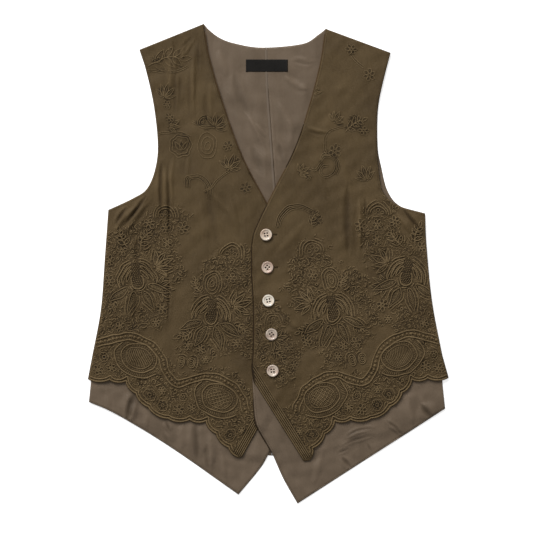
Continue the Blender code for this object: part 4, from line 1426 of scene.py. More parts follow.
class Work:
    """The embroidery of one front, gathered cord by cord."""

    def __init__(self, name, echo):
        self.name, self.outline = name, SHAPES[name]
        self.side = RIGHT if name == "front_right" else LEFT
        self.echo_pitch = echo
        self.ribs = rib_lines(self.side)
        self.band = np.vstack([self.ribs[0], self.ribs[-1][::-1]])
        self.cords, self.knots, self.eyelets, self.medallions = [], [], [], []
        self.wide, self.near = Ground(self.outline), Ground(self.outline)

    def on_cloth(self, points):
        """Inside the front's edge, where no other front covers it."""
        fits = well_within(points, self.outline, CORD_CLEAR)
        if self.name == "front_right":
            fits &= beyond(points, SHAPES["underfront_left"]) > CORD_INSET
        return fits

    def clear(self, points):
        return self.on_cloth(points) & (beyond(points, self.band) > CORD_INSET)

    def bare(self, points):
        return self.clear(points) & self.in_zone(points)

    def in_zone(self, points):
        """Inside a worked zone, whose edge wanders a little."""
        strayed = points + ZONE_STRAY * strays(points, ZONE_LENGTH, 81)
        return np.any([within(strayed, zone) for zone in WORKED[self.name]], axis=0)

    def swayed(self, points):
        """Points moved a little, as a needle strays, but not along the front's edges."""
        points = np.array(points, dtype=float)
        hold = eased(ring_distance(points, ROUGH_SHAPES[self.name]), 2.5, 8.0)
        hold *= eased(beyond(points, self.band), 0.5, 5.0)
        if self.name == "front_right":
            hold *= eased(beyond(points, ROUGH_SHAPES["underfront_left"]), 1.0, 6.0)
        return points + SWAY * hold[:, None] * strays(points, SWAY_LENGTH, 83)

    def lay(self, lines, girth=1.0, test=None, apart=None, one_by_one=False):
        """Lay cords along lines, where the cloth is clear and, if asked, the ground is free."""
        fine = [stations(line, LINE_STEP) for line in lines if length_of(line) > 2.0]
        if not fine:
            return
        marks = parted((test or self.clear)(np.vstack(fine)), fine)
        shortest, laid = SHORTEST_RUN * min(1.0, girth), []
        for line, good in zip(fine, marks):
            if apart is not None:
                good = good & apart.free(line)
            laid += [run for run in runs(line, good) if length_of(run) >= shortest]
            if one_by_one:
                self.keep(laid, girth)
                laid = []
        self.keep(laid, girth)

    def keep(self, lines, girth):
        """Keep cords, and take the ground about them."""
        for line in lines:
            self.cords.append(Cord(line, girth))
            spots = stations(line, CLAIM_STEP)
            self.wide.take(spots, self.echo_pitch * ECHO_REACH)
            self.near.take(spots, CORD_REACH)

    def painted_ground_shade(self, points):
        """How closely the ground about each point is worked, from 0 to 1, as the share of painted shade it
        gets between the cords.
        """
        points = 2.0 * points - self.swayed(points)
        spread = np.array([(0.0, 0.0)] + [spot for radius, step in CLOSE_RINGS
                                          for spot in circle((0.0, 0.0), radius, step)[:-1]])
        close = eased(np.mean([~self.near.free(points + step) for step in spread], axis=0), 0.45, 0.9)
        for field in self.medallions:
            deep = np.where(within(points, field), ring_distance(points, field), 0.0)
            close *= 1.0 - MEDALLION_SHADE_CUT * eased(deep, 0.0, 3.0)
        return close

    def knot(self, x, y, girth):
        self.knots.append((x, y, girth, 1.0, 0.0))

    def settle_knots(self):
        """Drop the knots that fall off the cloth, and take the others' ground."""
        spots = np.array([knot[:2] for knot in self.knots])
        good = self.clear(spots)
        self.knots = [knot for knot, fits in zip(self.knots, good) if fits]
        for ground, reach in zip((self.near, self.wide), KNOT_REACHES):
            ground.take(spots[good], reach)


def lay_border(work):
    """The doubled scallop cord, the scroll band with its pearls, and the medallions."""
    side = work.side
    hem = scallops(side)
    work.lay([beside(hem, side.sign * inset) for inset in HEM_CORDS])
    band = smooth([border_place(side, *place, n) for n in range(BORDER_REPEATS) for place in SCROLL_UNIT],
                  3.0)
    work.lay([beside(band, BAND_HALF), beside(band, -BAND_HALF)])
    for x, y in stations(band, PEARL_PITCH):
        work.knot(x, y, 1.0)
    turn = MEDALLION_TURN * side.sign
    span = CRADLE_SPAN if side.sign > 0 else [180.0 - a for a in CRADLE_SPAN]
    for repeat in range(BORDER_REPEATS):
        centre = border_place(side, *MEDALLION_PLACE, repeat)
        ring, inner_ring = (medallion_arc(centre, turn, scale) for scale in MEDALLION_RINGS)
        work.lay([ring, medallion_arc(centre, turn, CRADLE_SCALE, span)], 0.9)
        work.lay([inner_ring], 0.6)
        work.medallions.append(medallion_arc(centre, turn, CRADLE_SCALE))
        for x, y in stations(medallion_arc(centre, turn, 0.86), 3.5)[:-1]:
            work.knot(x, y, 0.45)
        hatch = []
        for k in range(HATCHES):
            angle = span[0] + (span[1] - span[0]) * (k + 0.5) / HATCHES
            inner, outer = (Vector(medallion_arc(centre, turn, scale, (angle, angle + 1))[0])
                            for scale in HATCH_SCALES)
            hatch.append([tuple(inner.lerp(outer, t / 2)) for t in range(3)])
        work.lay(hatch, 0.5)
        fill_medallion(work, centre, turn, repeat)


def fill_medallion(work, centre, turn, repeat):
    """Curved rows in the medallion beside the seam, a knotted net in the next."""
    field = np.array(medallion_arc(centre, turn, 0.7))
    spacing, bow, angles = MEDALLION_FILLS[repeat]
    rows = []
    for angle in angles:
        along = heading(angle + turn)
        for n in range(-8, 9):
            rows.append([tuple(Vector(centre) + along.orthogonal() * (spacing * n + bow * (1 - (t / 6) ** 2))
                               + along * 20.0 * t / 6) for t in range(-6, 7)])
    work.lay(rows, 0.55, test=lambda p: work.clear(p) & within(p, field))
    if repeat:
        swing = Matrix.Rotation(math.radians(angles[0] + turn), 2)
        for i in range(-3, 4):
            for j in range(-3, 4):
                spot = Vector(centre) + swing @ Vector(((i + 0.5) * spacing, (j + 0.5) * spacing))
                if within(np.array([spot]), field)[0]:
                    work.knot(*spot, 0.45)
    work.near.take(stations(field, CLAIM_STEP), 1.0)
    inner = field - np.array(centre)
    for share in (0.9, 0.7, 0.5, 0.3, 0.1):
        work.wide.take(inner * share + np.array(centre), 3.0)
        work.near.take(inner * share + np.array(centre), 2.6)


def crescent(centre, radii, span, turn, depth):
    """A petal like a new moon: an arc, and another bowed in from it."""
    outer = [Vector(p) for p in arc(centre, radii, span, turn)]
    last = len(outer) - 1
    inner = [p + (Vector(centre) - p).normalized() * depth * math.sin(math.pi * k / last) ** 0.6
             for k, p in enumerate(outer)]
    return tuples(outer), tuples(inner)


def lay_flower(work, flower):
    """Petals like new moons about a seeded heart, with veined leaves below."""
    centre, radius, swing = Vector((flower.x, flower.y)), flower.radius, flower.turn
    petals = [(centre, (radius * wide, radius * high), span, swing)
              for wide, high, low, top in PETALS for span in ((low, top), (180.0 - top, 180.0 - low))]
    outer_sides, inner_sides = map(list, zip(*(crescent(*petal, radius * PETAL_DEPTH) for petal in petals)))
    heart = [radius * share for share in HEART]
    outer_sides.append(arc(centre, heart, (140.0, 400.0), swing))
    leaves = [(centre + heading(turn + swing) * radius * LEAF_ROOT, LEAF_LENGTH, LEAF_WIDTH, turn + swing)
              for turn in LEAF_TURNS]
    for shape in leaves:
        inner_sides += leaf(*shape)
    work.lay(outer_sides, 0.95)
    work.lay(inner_sides, 0.68)
    cups = [arc(centre, [radius * (share + step) for share in HEART], (200.0, 340.0), swing)
            for step in (0.13, 0.26)]
    work.lay(cups, 0.8, apart=work.near)
    for shape in leaves:
        work.lay(leaf_veins(*shape, LEAF_VEINS), 0.5)
    seeded = [(x * radius, y * radius) for x, y in THROAT]
    core = arc((0.0, 0.0), [half - 1.6 for half in heart], (0, 360))
    spots = hex_grid((-radius, -radius), (radius, radius), HEART_PITCH)
    for spot in spots[within(spots, seeded) | within(spots, core)]:
        spot = centre + Matrix.Rotation(math.radians(swing), 2) @ Vector(spot)
        work.knot(*spot, 0.42)
    for petal in petals[:4]:
        for x, y in stations(crescent(*petal, radius * PETAL_DEPTH / 2)[1][2:-2], 2.8):
            work.knot(x, y, 0.36)


def lay_motifs(work, motifs, fineness=1.0):
    """Each motif on the ground that the ones before it left free."""
    for motif in motifs:
        lines, knots = DRAWN[motif.kind](motif)
        before = deepcopy(work.near)
        hole = np.array(circle((motif.x, motif.y), EYELET + 1.0, 30)[:-1])
        if motif.kind == "eyelet" and work.clear(hole).all() and before.free(hole).all():
            work.eyelets.append((motif.x, motif.y))
        for girth in sorted({girth for _, girth in lines}, reverse=True):
            work.lay([line for line, own in lines if own == girth], girth * fineness, apart=before)
        spots = np.array([knot[:2] for knot in knots]).reshape(-1, 2)
        work.knots += [(x, y, girth * fineness, drawn, 0.0)
                       for (x, y, girth, drawn), free in zip(knots, before.free(spots)) if free]


def lay_echoes(work, sources):
    """Thinner cords that repeat outlines over the worked ground."""
    lines = [beside(line, way * work.echo_pitch) for line in sources for way in (1, -1)]
    work.lay(lines, ECHO_GIRTH, test=work.bare, apart=work.wide, one_by_one=True)


def lay_meander(work, seed):
    """Short winding cords over whatever worked ground is still bare."""
    rng = np.random.RandomState(seed)
    bare = deepcopy(work.wide)
    bare.take_all_but(work.bare)
    spots = grid_over(work.outline, 1.9)
    spots = spots[bare.free(spots)]
    rng.shuffle(spots)
    for spot in spots:
        if not bare.free(spot[None])[0]:
            continue
        line = max((wander(bare, spot, rng) for _ in range(MEANDER_TRIES)), key=len)
        if len(line) * MEANDER_STEP < SHORTEST_MEANDER:
            continue
        work.cords.append(Cord(line, MEANDER_GIRTH))
        work.near.take(stations(line, CLAIM_STEP), CORD_REACH)
        bare.take(stations(line, CLAIM_STEP), MEANDER_REACH)


def wander(bare, spot, rng):
    """A line that curls both ways from a spot until it meets taken ground."""
    start = rng.uniform(0.0, TURN)
    halves = []
    for way in (0.0, math.pi):
        bend = rng.choice((-1.0, 1.0)) / rng.uniform(*MEANDER_RADII)
        place, turn, half = spot, start + way, []
        for _ in range(rng.randint(3, MEANDER_STEPS)):
            turn += bend * MEANDER_STEP
            place = place + np.array((math.cos(turn), math.sin(turn))) * MEANDER_STEP
            if not bare.free(place[None])[0]:
                break
            half.append(tuple(place))
            if rng.uniform() < BEND_BACK:
                bend = -bend
        halves.append(half)
    return halves[0][::-1] + [tuple(spot)] + halves[1]


def sow_seeds(work, pitch, seed):
    """Seed stitches on the ground still bare: x, y, girth, how far drawn out, turn."""
    rng = np.random.RandomState(seed)
    spots = grid_over(work.outline, pitch)
    spots = spots + rng.uniform(-SEED_STRAY, SEED_STRAY, spots.shape) * pitch
    spots = spots[work.in_zone(spots) & work.near.free(spots)]
    spots = spots[work.clear(spots)]
    turn = ripple(spots, 26.0, seed + 1) * math.pi + rng.uniform(-0.7, 0.7, len(spots))
    girth, drawn = rng.uniform(0.85, 1.2, len(spots)), rng.uniform(1.1, 1.7, len(spots))
    return np.column_stack([work.swayed(spots), girth, drawn, turn])


@lru_cache(maxsize=None)
def embroidered(name, echo):
    """All the embroidery of one front, in the order that it is laid."""
    work = Work(name, echo)
    lay_border(work)
    border = len(work.cords)
    for flower in FLOWERS:
        if name.endswith(flower.side):
            lay_flower(work, flower)
    lay_motifs(work, shared_motifs(work.side))
    lay_motifs(work, [Motif(*row) for row in CHEST_MOTIFS[name]], CHEST_FINENESS)
    tendrils = [smooth(line, 1.5) for line in TENDRILS[name]]
    work.lay([beside(line, way * TENDRIL_HALF) for line in tendrils for way in (1, -1)],
             TENDRIL_GIRTH, apart=work.near)
    work.settle_knots()
    lay_echoes(work, [cord.line for cord in work.cords[border:] if cord.girth > 0.6])
    lay_meander(work, PANEL_SEEDS[name] + 3)
    for rib in work.ribs:
        work.near.take(stations(rib, CLAIM_STEP), CORD_REACH)
    lines = [cord.line for cord in work.cords]
    lines = parted(work.swayed(np.vstack(lines)), lines)
    work.cords = [Cord(tuples(line), cord.girth) for line, cord in zip(lines, work.cords)]
    spots = work.swayed([knot[:2] for knot in work.knots])
    work.knots = [(*spot, *knot[2:]) for spot, knot in zip(spots, work.knots)]
    work.eyelets = tuples(work.swayed(work.eyelets))
    return work


def sampled(line):
    """A cord's points: as few as its bends allow, but close enough for the cloth's relief."""
    thin = thinned(line, CORD_BEND)
    points = [thin[0]]
    for a, b in zip(thin, thin[1:]):
        parts = max(1, math.ceil(math.dist(a, b) / CORD_STEP))
        points += [tuple(Vector(a).lerp(Vector(b), k / parts)) for k in range(1, parts + 1)]
    return points


def on_face(name, plan, face, lift, edges=()):
    """Points and edges a little above a face of the cloth."""
    return linked(name, np.column_stack([plan, face(plan) + lift]), edges)


def cord_object(name, cords, face, section, material, lift=0.1):
    """Cords as real tubes on the cloth: paths that the cord tree thickens."""
    points, edges, girths = [], [], []
    for cord in cords:
        path = sampled(cord.line)
        closed = math.dist(path[0], path[-1]) < 0.01 and len(path) > 4
        path = path[:-1] if closed else path
        start = len(points)
        points += path
        edges += [(k, k + 1) for k in range(start, len(points) - 1)]
        girth = [cord.girth] * len(path)
        if closed:
            edges.append((len(points) - 1, start))
        else:
            girth[0] = girth[-1] = cord.girth * BLUNT
        girths += girth
    plan = np.array(points)
    obj = on_face(name, plan, face, lift, edges)
    mark(obj, "girth", girths)
    # the painted shade and highlight of the folds under the cords
    mark(obj, "fold_shade", painted_fold_shade(name, plan))
    return grown(obj, "cords", {"Half Width": section.width / 2, "Half Height": section.rise - lift * MM,
                                "Sides": section.sides, "Finish": material})


def bead_object(name, pips, face, width, bead, material):
    """Beads or seed stitches on the cloth: points that the bead tree turns into pips."""
    pips = np.array(pips, dtype=float)
    obj = on_face(name, pips[:, :2], face, STITCH_LIFT)
    for column, title in ((2, "girth"), (3, "drawn"), (4, "turn")):
        mark(obj, title, pips[:, column])
    # the painted shade and highlight of the folds under the pips
    mark(obj, "fold_shade", painted_fold_shade(name, pips[:, :2]))
    return grown(obj, "beads", {"Width": width, "Flatness": bead.flatness, "Sides": bead.sides,
                                "Unevenness": bead.unevenness, "Seed": bead.seed, "Finish": material})


def stitch_object(name, lines, face, pitch, width, material):
    """Machine stitches along lines on the cloth."""
    points, edges = [], []
    for line in lines:
        start = len(points)
        points += list(stations(line, 3.0))
        edges += [(k, k + 1) for k in range(start, len(points) - 1)]
    obj = on_face(name, np.array(points), face, STITCH_LIFT, edges)
    return grown(obj, "stitches", {"Pitch": pitch, "Width": width, "Finish": material})


# ---- the pieces

PEARL = Bead(0.55, 8, 0.08, 5)
SEED_STITCH = Bead(0.6, 6, 0.15, 6)
SEED_GIRTH = 0.62  # a seed stitch's thickness, over the main cords'
BUTTON_THREAD = Bead(0.5, 10, 0.0, 3)
THREAD_WIDTH = 2.1 * MM
THREAD_SEAT = 0.34  # how high the thread lies in a button, of its height
SATIN_PANELS = ("back_right", "back_left", "underfront_right", "underfront_left")
FRONTS = ("front_right", "front_left")
BUTTON_COLOURS = (  # a tone over the lightest shell colour, then the cloud in it
    ((0.78, 0.74, 0.7), (186, 152, 126)),
    ((0.7, 0.64, 0.6), (164, 118, 98)),
    ((0.98, 0.98, 0.98), (226, 208, 188)),
    ((0.64, 0.6, 0.57), (148, 118, 102)),
    ((0.74, 0.7, 0.67), (176, 146, 130)),
)
BUTTON_PROFILE = ((0.0, 0.66), (0.62, 0.66), (0.74, 0.92), (0.9, 1.0), (0.97, 0.94), (1.0, 0.78))
BUTTON_RINGS = (0.99, 0.96, 0.93, 0.9, 0.86, 0.82, 0.78, 0.74, 0.7, 0.66, 0.62, 0.56, 0.48, 0.4, 0.2, 0.1)
BUTTON_HOLE = 1.12
EYE_RINGS = (1.14, 1.45)
BUTTON_DIP = 0.12  # how far a button dips towards its holes, of its height
BUTTON_HOLE_PLACE = 1.8
LABEL_FOLD = 2.4  # width of the label's folded ends, in mm
LABEL_THICKNESS = (0.55, 0.3)  # the label's own, and what a folded end adds
LABEL_TACK = 0.9  # how far inside its edges it is tacked
LABEL_STITCH = (1.3 * MM, 0.45 * MM)  # its pitch and width


def button_place(name):
    """A button's centre in plan, its radius, its seat and its height, in mm."""
    low, high = (np.array(corner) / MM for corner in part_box(name))
    return (low + high)[:2] / 2, (high - low)[0] / 2, low[2], (high - low)[2]


def slit(name, margin=0.0):
    """The outline of the buttonhole behind a button."""
    (x, y), *_ = button_place(name)
    half = BUTTONHOLE_WIDTH / 2 + margin
    return (arc((x + BUTTONHOLE_END - half, y), (half, half), (-90, 90), step=45)
            + arc((x + BUTTONHOLE_START + half, y), (half, half), (90, 270), step=45))


def make_cloth(settings, cords):
    """The six panels of cloth."""
    satin = satin_finish(settings.lining)
    front = front_finish(settings.front)
    slits = [slit(button) for button in BUTTON_NAMES]
    for name in SATIN_PANELS:
        cloth_panel(name, settings, satin, slits if name == "underfront_left" else ())
    for name in FRONTS:
        work = embroidered(name, cords.echo / MM)
        holes = [circle(spot, EYELET, 30)[:-1] for spot in work.eyelets]
        obj, plan = cloth_panel(name, settings, front, (slits if name == "front_left" else []) + holes)
        # the painted shade of the ground between close cords
        mark(obj, "worked", work.painted_ground_shade(plan))


def make_embroidery(cloth, cords):
    """The fronts' raised embroidery: cords, ribs, pearls and seed stitches."""
    finish = cord_finish(cords.colour)
    for name in FRONTS:
        face = face_of(name, cloth)
        work = embroidered(name, cords.echo / MM)
        cord_object(name + "_cords", work.cords, face, cords, finish)
        fine = [stations(rib, LINE_STEP) for rib in work.ribs]
        ribs = [Cord(run, RIB_GIRTH) for line in fine for run in runs(line, work.on_cloth(line))]
        cord_object(name + "_ribs", ribs, face, cords, finish)
        bead_object(name + "_pearls", work.knots, face, cords.pearl, PEARL, finish)
        seeds = sow_seeds(work, cords.seed_pitch / MM, PANEL_SEEDS[name] + 7)
        bead_object(name + "_seeds", seeds, face, cords.width * SEED_GIRTH, SEED_STITCH, finish)


STITCHED = {
    "front_right": (RIGHT.v, RIGHT.armhole),
    "front_left": (LEFT.v, LEFT.centre, LEFT.armhole),
    "underfront_right": (RIGHT.hem, RIGHT.point),
    "underfront_left": (LEFT.hem, LEFT.point),
}
STITCH_INSET = 2.8
STITCH_WIDTH = 0.5 * MM
SHORTEST_STITCHING = 8
BUTTONHOLE_STITCH = (0.75 * MM, 0.9 * MM)  # its pitch and width
BUTTONHOLE_MARGIN = 0.55


def stitched_edges(name):
    """Lines of topstitching on a panel, a little inside its edges."""
    kept = []
    for stretch in STITCHED[name]:
        for way in (1, -1):
            fine = stations(beside(smooth(stretch), way * STITCH_INSET), 1.0)
            good = well_within(fine, SHAPES[name], STITCH_INSET - 0.8)
            for cover in COVERS[name]:
                good &= beyond(fine, SHAPES[cover]) > 1.0
            kept += [run for run in runs(fine, good) if length_of(run) > SHORTEST_STITCHING]
    return kept


def make_sewing(cloth, trim):
    """Topstitching along the edges, and the worked buttonholes."""
    dark = thread_finish("sewing_thread", 66, 54, 40)
    for name in STITCHED:
        stitch_object(name + "_topstitching", stitched_edges(name), face_of(name, cloth),
                      trim.stitch_pitch, STITCH_WIDTH, dark)
    silk = thread_finish("buttonhole_silk", 90, 74, 50)
    for n, button in enumerate(BUTTON_NAMES, 1):
        loop = slit(button, BUTTONHOLE_MARGIN)
        stitch_object(f"buttonhole_{n}", [loop + loop[:1]], face_of("front_left", cloth),
                      *BUTTONHOLE_STITCH, silk)


# The dark lap piping is a painted shadow along the left front's lapped edge and the left under-front's point
LAPPED = (LEFT.v, (LEFT.v[-1], LEFT.centre[0]), LEFT.centre, (LEFT.centre[-1], LEFT.cutaway[0]))
PIPED = (
    ("front_right", "piping", (RIGHT.v,)),
    ("front_left", "piping", (LEFT.v,)),
    ("front_left", "lap", LAPPED),
    ("underfront_left", "lap", (LEFT.point,)),
)
LAP_TOP = 84.0  # the left front's edge gets a painted shadow below this height, in mm
ROLLED = (134.0, 196.0)  # and between these two, where it rolls under and gets one too
UNDER_LAP = (-263.0, -190.0)  # and where the under-fronts' points lap, with a painted shadow
PIPING = Section(1.7 * MM, 0.9 * MM, 6)
PIPING_OUT = 0.45  # how far outside a front's edge its piping lies, in mm
PIPING_DROP = 1.25  # and how far below the front's outer face
SHORTEST_PIPING = 12
SEAM = Section(3.6 * MM, 0.42 * MM, 8)
SEAM_SHADOW_LINE = Section(0.8 * MM, 0.5 * MM, 6)
SEAM_START = 246.0  # the seam has a painted shadow line for its groove below this height, in mm
SHADOW_LINE_SHIFT = 1.5  # how far the painted shadow line lies beside the seam
SEAM_DROP = 1.5  # and how far below the neck the seam starts


def make_edges(cloth):
    """The piping of the fronts' edges, dark where it is a painted shadow, and the pressed seam of the back
    with a painted shadow line beside it.
    """
    pale = thread_finish("edge_piping", 82, 63, 42)
    # a dark cord for the painted shadow at the laps
    dark = thread_finish("lap_piping", 46, 34, 20)
    for name, part, stretches in PIPED:
        cords = []
        for line, way in ((stretch, way) for stretch in stretches for way in (1, -1)):
            line = stations(beside(smooth(line), way * PIPING_OUT), LINE_STEP)
            good, y = ~within(line, SHAPES[name]), line[:, 1]
            shaded = (y < LAP_TOP) | ((y > ROLLED[0]) & (y < ROLLED[1]))
            if name == "front_left":
                good &= shaded == (part == "lap")
            if name == "underfront_left":
                good &= (y > UNDER_LAP[0]) & (y < UNDER_LAP[1])
            cords += [Cord(run, 1.0) for run in runs(line, good) if length_of(run) > SHORTEST_PIPING]
        cord_object(f"{name}_{part}", cords, face_of(name, cloth, PIPING_DROP), PIPING,
                    dark if part == "lap" else pale, lift=0.0)
    line = stations(smooth(CENTRE_BACK[:4]), LINE_STEP)
    line = [(x, y) for x, y in line if y < CENTRE_BACK[0][1] - SEAM_DROP]
    # a dark cord beside the seam: the painted shadow of its groove
    shadow_line = [(x + SHADOW_LINE_SHIFT, y) for x, y in line if y < SEAM_START]
    shadow = thread_finish("seam_shadow", 72, 58, 44)
    for title, run, section, finish in (("seam", line, SEAM, bpy.data.materials["plain_satin"]),
                                        ("seam_groove", shadow_line, SEAM_SHADOW_LINE, shadow)):
        cord_object("back_right_" + title, [Cord(run, 1.0)], lambda p: back_face(p, cloth), section,
                    finish, lift=0.0)


def back_face(points, cloth):
    """The outer face of the back, across both halves."""
    seam = np.interp(points[:, 1], *zip(*sorted((y, x) for x, y in CENTRE_BACK)))
    right = outer_face("back_right", points, cloth)
    left = outer_face("back_left", points, cloth)
    return np.where(points[:, 0] < seam, right, left)


def make_label(cloth, trim):
    """The bare woven label, its ends folded under and tacked at the corners."""
    low, high = (np.array(corner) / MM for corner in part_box("neck_label"))
    low, high = low[:2] + 0.2, high[:2] - 0.2
    loop = [tuple(low), (high[0], low[1]), tuple(high), (low[0], high[1])]
    loop = [tuple(p) for a, b in zip(loop, loop[1:] + loop[:1]) for p in stations([a, b], 1.5)[:-1]]
    spots = hex_grid(low, high, 0.9)
    spots = spots[well_within(spots, loop, 0.7)]
    inset = inset_spots(loop, 0.3)

    def lower(points):
        return back_face(points, cloth) + 0.05

    def upper(points):
        ends = np.minimum(points[:, 0] - low[0], high[0] - points[:, 0])
        folds = 1.0 - eased(ends, LABEL_FOLD - 0.5, LABEL_FOLD + 0.3)
        thick = LABEL_THICKNESS[0] + LABEL_THICKNESS[1] * folds
        return lower(points) + thick + 0.05 * ripple(points, 14.0, 71)

    wall("label_cloth", [loop], np.vstack([spots, inset]), np.vstack([spots[::3], inset]), upper,
         lower, label_finish(trim.label))
    first, last = low + LABEL_TACK, high - LABEL_TACK
    tacks = [[(x, first[1]), (x, last[1])] for x in (first[0], last[0])]
    stitch_object("label_stitches", tacks, upper, *LABEL_STITCH,
                  thread_finish("label_thread", 52, 48, 44))


def make_buttons(trim):
    """Five shell buttons, sewn through four holes."""
    thread = thread_finish("button_thread", 34, 24, 16)
    for n, name in enumerate(BUTTON_NAMES):
        centre, radius, seat, height = button_place(name)
        tones, cloud = BUTTON_COLOURS[n]
        colour = tuple(c * tone for c, tone in zip(trim.shell, tones))
        finish = shell_finish(f"shell_{n + 1}", colour, everyday(*cloud))
        swing = Matrix.Rotation(math.radians(BUTTON_TURNS[n]), 2)
        steps = (-BUTTON_HOLE_PLACE, BUTTON_HOLE_PLACE)
        eyes = [tuple(Vector(centre) + swing @ Vector((x, y))) for x in steps for y in steps]
        loops = [circle(centre, radius, 5)[:-1]] + [circle(eye, BUTTON_HOLE, 30)[:-1] for eye in eyes]
        rings = np.vstack([circle(centre, radius * r, 8)[:-1] for r in BUTTON_RINGS]
                          + [circle(eye, BUTTON_HOLE * r, 30)[:-1] for eye in eyes for r in EYE_RINGS])

        def radial(points):
            return np.linalg.norm(points - centre, axis=1) / radius

        def upper(points):
            dip = np.ones(len(points))
            for eye in eyes:
                near = np.linalg.norm(points - np.array(eye), axis=1)
                dip -= BUTTON_DIP * (1.0 - eased(near, BUTTON_HOLE, BUTTON_HOLE * EYE_RINGS[1]))
            return seat + height * np.interp(radial(points), *zip(*BUTTON_PROFILE)) * dip

        def lower(points):
            return seat + height * 0.4 * eased(radial(points), 0.78, 1.0)

        shell, plan = wall(name + "_shell", loops, rings, rings, upper, lower, finish)
        # where the painted shade at the rim falls
        mark(shell, "rim", eased(radial(plan), 0.93, 1.0))
        spots = [(*eye, 1.0, 1.0, 0.0) for eye in eyes]
        bead_object(name + "_thread", spots, lambda p: np.full(len(p), seat + height * THREAD_SEAT),
                    THREAD_WIDTH, BUTTON_THREAD, thread)


# ---- stage


FLOOR_SIZE = 24.0
KEY_SIZE = (4.6, 2.8)
KEY_PLACE = (-2.3, 5.1, 3.5)
CAMERA_PLACE = (-0.00245, -0.00385)
SENSOR = 36.0  # width of the camera's sensor, in mm


def make_stage(stage):
    """A pale floor, soft light from beyond the neck, and a camera looking straight down."""
    scene = bpy.context.scene
    bpy.ops.mesh.primitive_plane_add(size=FLOOR_SIZE, location=(0.0, 0.0, 0.0))
    floor = bpy.context.object
    floor.name = "pale_floor"
    look = Look("pale_floor")
    floor.data.materials.append(look.finish(WHITE, 1.0, None, 0.0, Emission_Color=WHITE,
                                            Emission_Strength=stage.glow))
    light = bpy.data.lights.new("key_light", "AREA")
    light.shape = "RECTANGLE"
    light.size, light.size_y = KEY_SIZE
    light.energy = stage.key
    key = bpy.data.objects.new("key_light", light)
    key.location = KEY_PLACE
    key.rotation_euler = (-key.location).to_track_quat("-Z", "Y").to_euler()
    scene.collection.objects.link(key)
    world = bpy.data.worlds.new("soft_light")
    world.use_nodes = True
    background = world.node_tree.nodes["Background"].inputs
    background["Color"].default_value = WHITE
    background["Strength"].default_value = stage.fill
    scene.world = world
    lens = bpy.data.cameras.new("camera")
    lens.sensor_width = SENSOR
    lens.lens = SENSOR * stage.height / stage.field
    lens.clip_end = 50.0
    camera = bpy.data.objects.new("camera", lens)
    camera.location = (*CAMERA_PLACE, stage.height)
    scene.collection.objects.link(camera)
    scene.camera = camera
    scene.view_settings.view_transform = "Standard"


# ---- joining the frame

FRONT_PARTS = ("cords", "ribs", "pearls", "seeds", "topstitching", "piping")
PIECES = {  # a cloth panel, the slot of its cloth, the pieces worked on it, and what it lies on
    "back_right": ("plain_satin", ("seam", "seam_groove"), ("the floor",)),
    "back_left": ("plain_satin", (), ("the floor",)),
    "underfront_right": ("plain_satin", ("topstitching",), ("back_right_cloth", "back_left_cloth")),
    "underfront_left": ("plain_satin", ("topstitching", "lap"),
                        ("underfront_right_cloth", "front_right_cloth", "back_left_cloth")),
    "front_right": ("corded_cloth", FRONT_PARTS, ("underfront_right_cloth",)),
    "front_left": ("corded_cloth", FRONT_PARTS + ("lap",), ("underfront_left_cloth",)),
}


def placed(name):
    found = bpy.data.objects.get(name)
    if found is None:
        raise RuntimeError(f"{name} isn't made yet")
    return found


def area_of(outline):
    x, y = outline[:, 0], outline[:, 1]
    return abs(float(x @ np.roll(y, -1) - y @ np.roll(x, -1))) / 2


def fit_to_frame():
    """Every piece rides on the body and stands for its node, whose own mesh is hidden."""
    for name, (slot, worked_on, laid_on) in PIECES.items():
        cloth = placed(name + "_cloth")
        parts = [placed(f"{name}_{part}") for part in worked_on]
        if name == "front_left":
            parts += [placed(f"buttonhole_{n}") for n in range(1, 6)]
        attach(cloth, BODY)
        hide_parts(name)
        for part in parts:
            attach(part, BODY)
        outline = SHAPES[name]
        area_of(outline) * MM**2
    label, tacks = placed("label_cloth"), placed("label_stitches")
    for part in (label, tacks):
        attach(part, BODY)
    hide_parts("neck_label")
    for name in BUTTON_NAMES:
        shell, thread = placed(name + "_shell"), placed(name + "_thread")
        for part in (shell, thread):
            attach(part, BODY)
        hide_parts(name)


# ---- operators and panel


class WAISTCOAT_OT_cloth(bpy.types.Operator):
    """Make the back, the plain under-fronts and the fronts"""

    bl_idname = "waistcoat.cloth"
    bl_label = "Cloth panels"

    def execute(self, context):
        make_cloth(context.scene.waistcoat_cloth, context.scene.waistcoat_cords)
        return {"FINISHED"}


class WAISTCOAT_OT_embroidery(bpy.types.Operator):
    """Work the cords, ribs, pearls and seed stitches of the fronts"""

    bl_idname = "waistcoat.embroidery"
    bl_label = "Embroidery"

    def execute(self, context):
        make_embroidery(context.scene.waistcoat_cloth, context.scene.waistcoat_cords)
        return {"FINISHED"}


class WAISTCOAT_OT_sewing(bpy.types.Operator):
    """Topstitch the edges and work the buttonholes"""

    bl_idname = "waistcoat.sewing"
    bl_label = "Sewing"

    def execute(self, context):
        make_sewing(context.scene.waistcoat_cloth, context.scene.waistcoat_trim)
        return {"FINISHED"}


class WAISTCOAT_OT_edges(bpy.types.Operator):
    """Pipe the fronts' edges and press the back's seam"""

    bl_idname = "waistcoat.edges"
    bl_label = "Edges and seam"

    def execute(self, context):
        make_edges(context.scene.waistcoat_cloth)
        return {"FINISHED"}


class WAISTCOAT_OT_label(bpy.types.Operator):
    """Sew the bare label inside the neck"""

    bl_idname = "waistcoat.label"
    bl_label = "Neck label"

    def execute(self, context):
        make_label(context.scene.waistcoat_cloth, context.scene.waistcoat_trim)
        return {"FINISHED"}


class WAISTCOAT_OT_buttons(bpy.types.Operator):
    """Make the five shell buttons and the thread in their holes"""

    bl_idname = "waistcoat.buttons"
    bl_label = "Buttons"

    def execute(self, context):
        make_buttons(context.scene.waistcoat_trim)
        return {"FINISHED"}


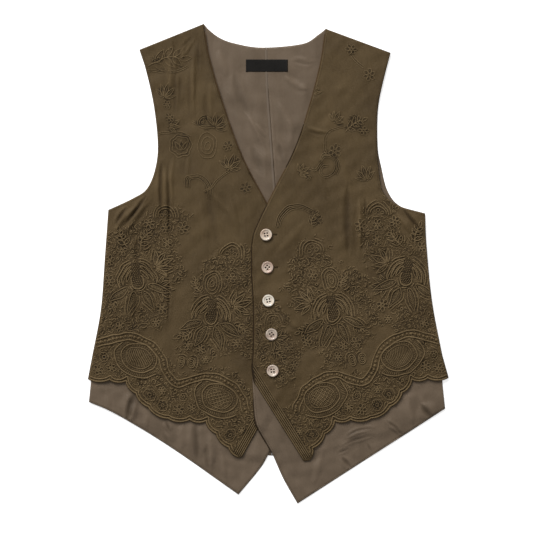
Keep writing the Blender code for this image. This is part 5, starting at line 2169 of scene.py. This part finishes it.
class WAISTCOAT_OT_stage(bpy.types.Operator):
    """Set the floor, the light and the camera"""

    bl_idname = "waistcoat.stage"
    bl_label = "Stage"

    def execute(self, context):
        make_stage(context.scene.waistcoat_stage)
        return {"FINISHED"}


class WAISTCOAT_OT_fit(bpy.types.Operator):
    """Join every piece to the frame"""

    bl_idname = "waistcoat.fit"
    bl_label = "Fit to frame"

    def execute(self, context):
        fit_to_frame()
        return {"FINISHED"}


OPERATORS = (WAISTCOAT_OT_cloth, WAISTCOAT_OT_embroidery, WAISTCOAT_OT_sewing, WAISTCOAT_OT_edges,
             WAISTCOAT_OT_label, WAISTCOAT_OT_buttons, WAISTCOAT_OT_stage, WAISTCOAT_OT_fit)
SETTINGS = {"waistcoat_cloth": ClothSettings, "waistcoat_cords": CordSettings,
            "waistcoat_trim": TrimSettings, "waistcoat_stage": StageSettings}


class WAISTCOAT_PT_panel(bpy.types.Panel):
    """Every step of the waistcoat, in order, with its sizes and colours"""

    bl_idname = "WAISTCOAT_PT_panel"
    bl_label = "Waistcoat"
    bl_space_type = "VIEW_3D"
    bl_region_type = "UI"
    bl_category = "Waistcoat"

    def draw(self, context):
        for operator in OPERATORS:
            self.layout.operator(operator.bl_idname)
        for title, group in SETTINGS.items():
            box = self.layout.box()
            for name in group.__annotations__:
                box.prop(getattr(context.scene, title), name)


CLASSES = (*SETTINGS.values(), *OPERATORS, WAISTCOAT_PT_panel)


def register():
    for cls in CLASSES:
        bpy.utils.register_class(cls)
    for title, group in SETTINGS.items():
        setattr(bpy.types.Scene, title, bpy.props.PointerProperty(type=group))


def unregister():
    for title in SETTINGS:
        delattr(bpy.types.Scene, title)
    for cls in reversed(CLASSES):
        bpy.utils.unregister_class(cls)


def main():
    register()
    bpy.ops.waistcoat.cloth()
    bpy.ops.waistcoat.embroidery()
    bpy.ops.waistcoat.sewing()
    bpy.ops.waistcoat.edges()
    bpy.ops.waistcoat.label()
    bpy.ops.waistcoat.buttons()
    bpy.ops.waistcoat.stage()
    bpy.ops.waistcoat.fit()


if __name__ == "__main__":
    main()
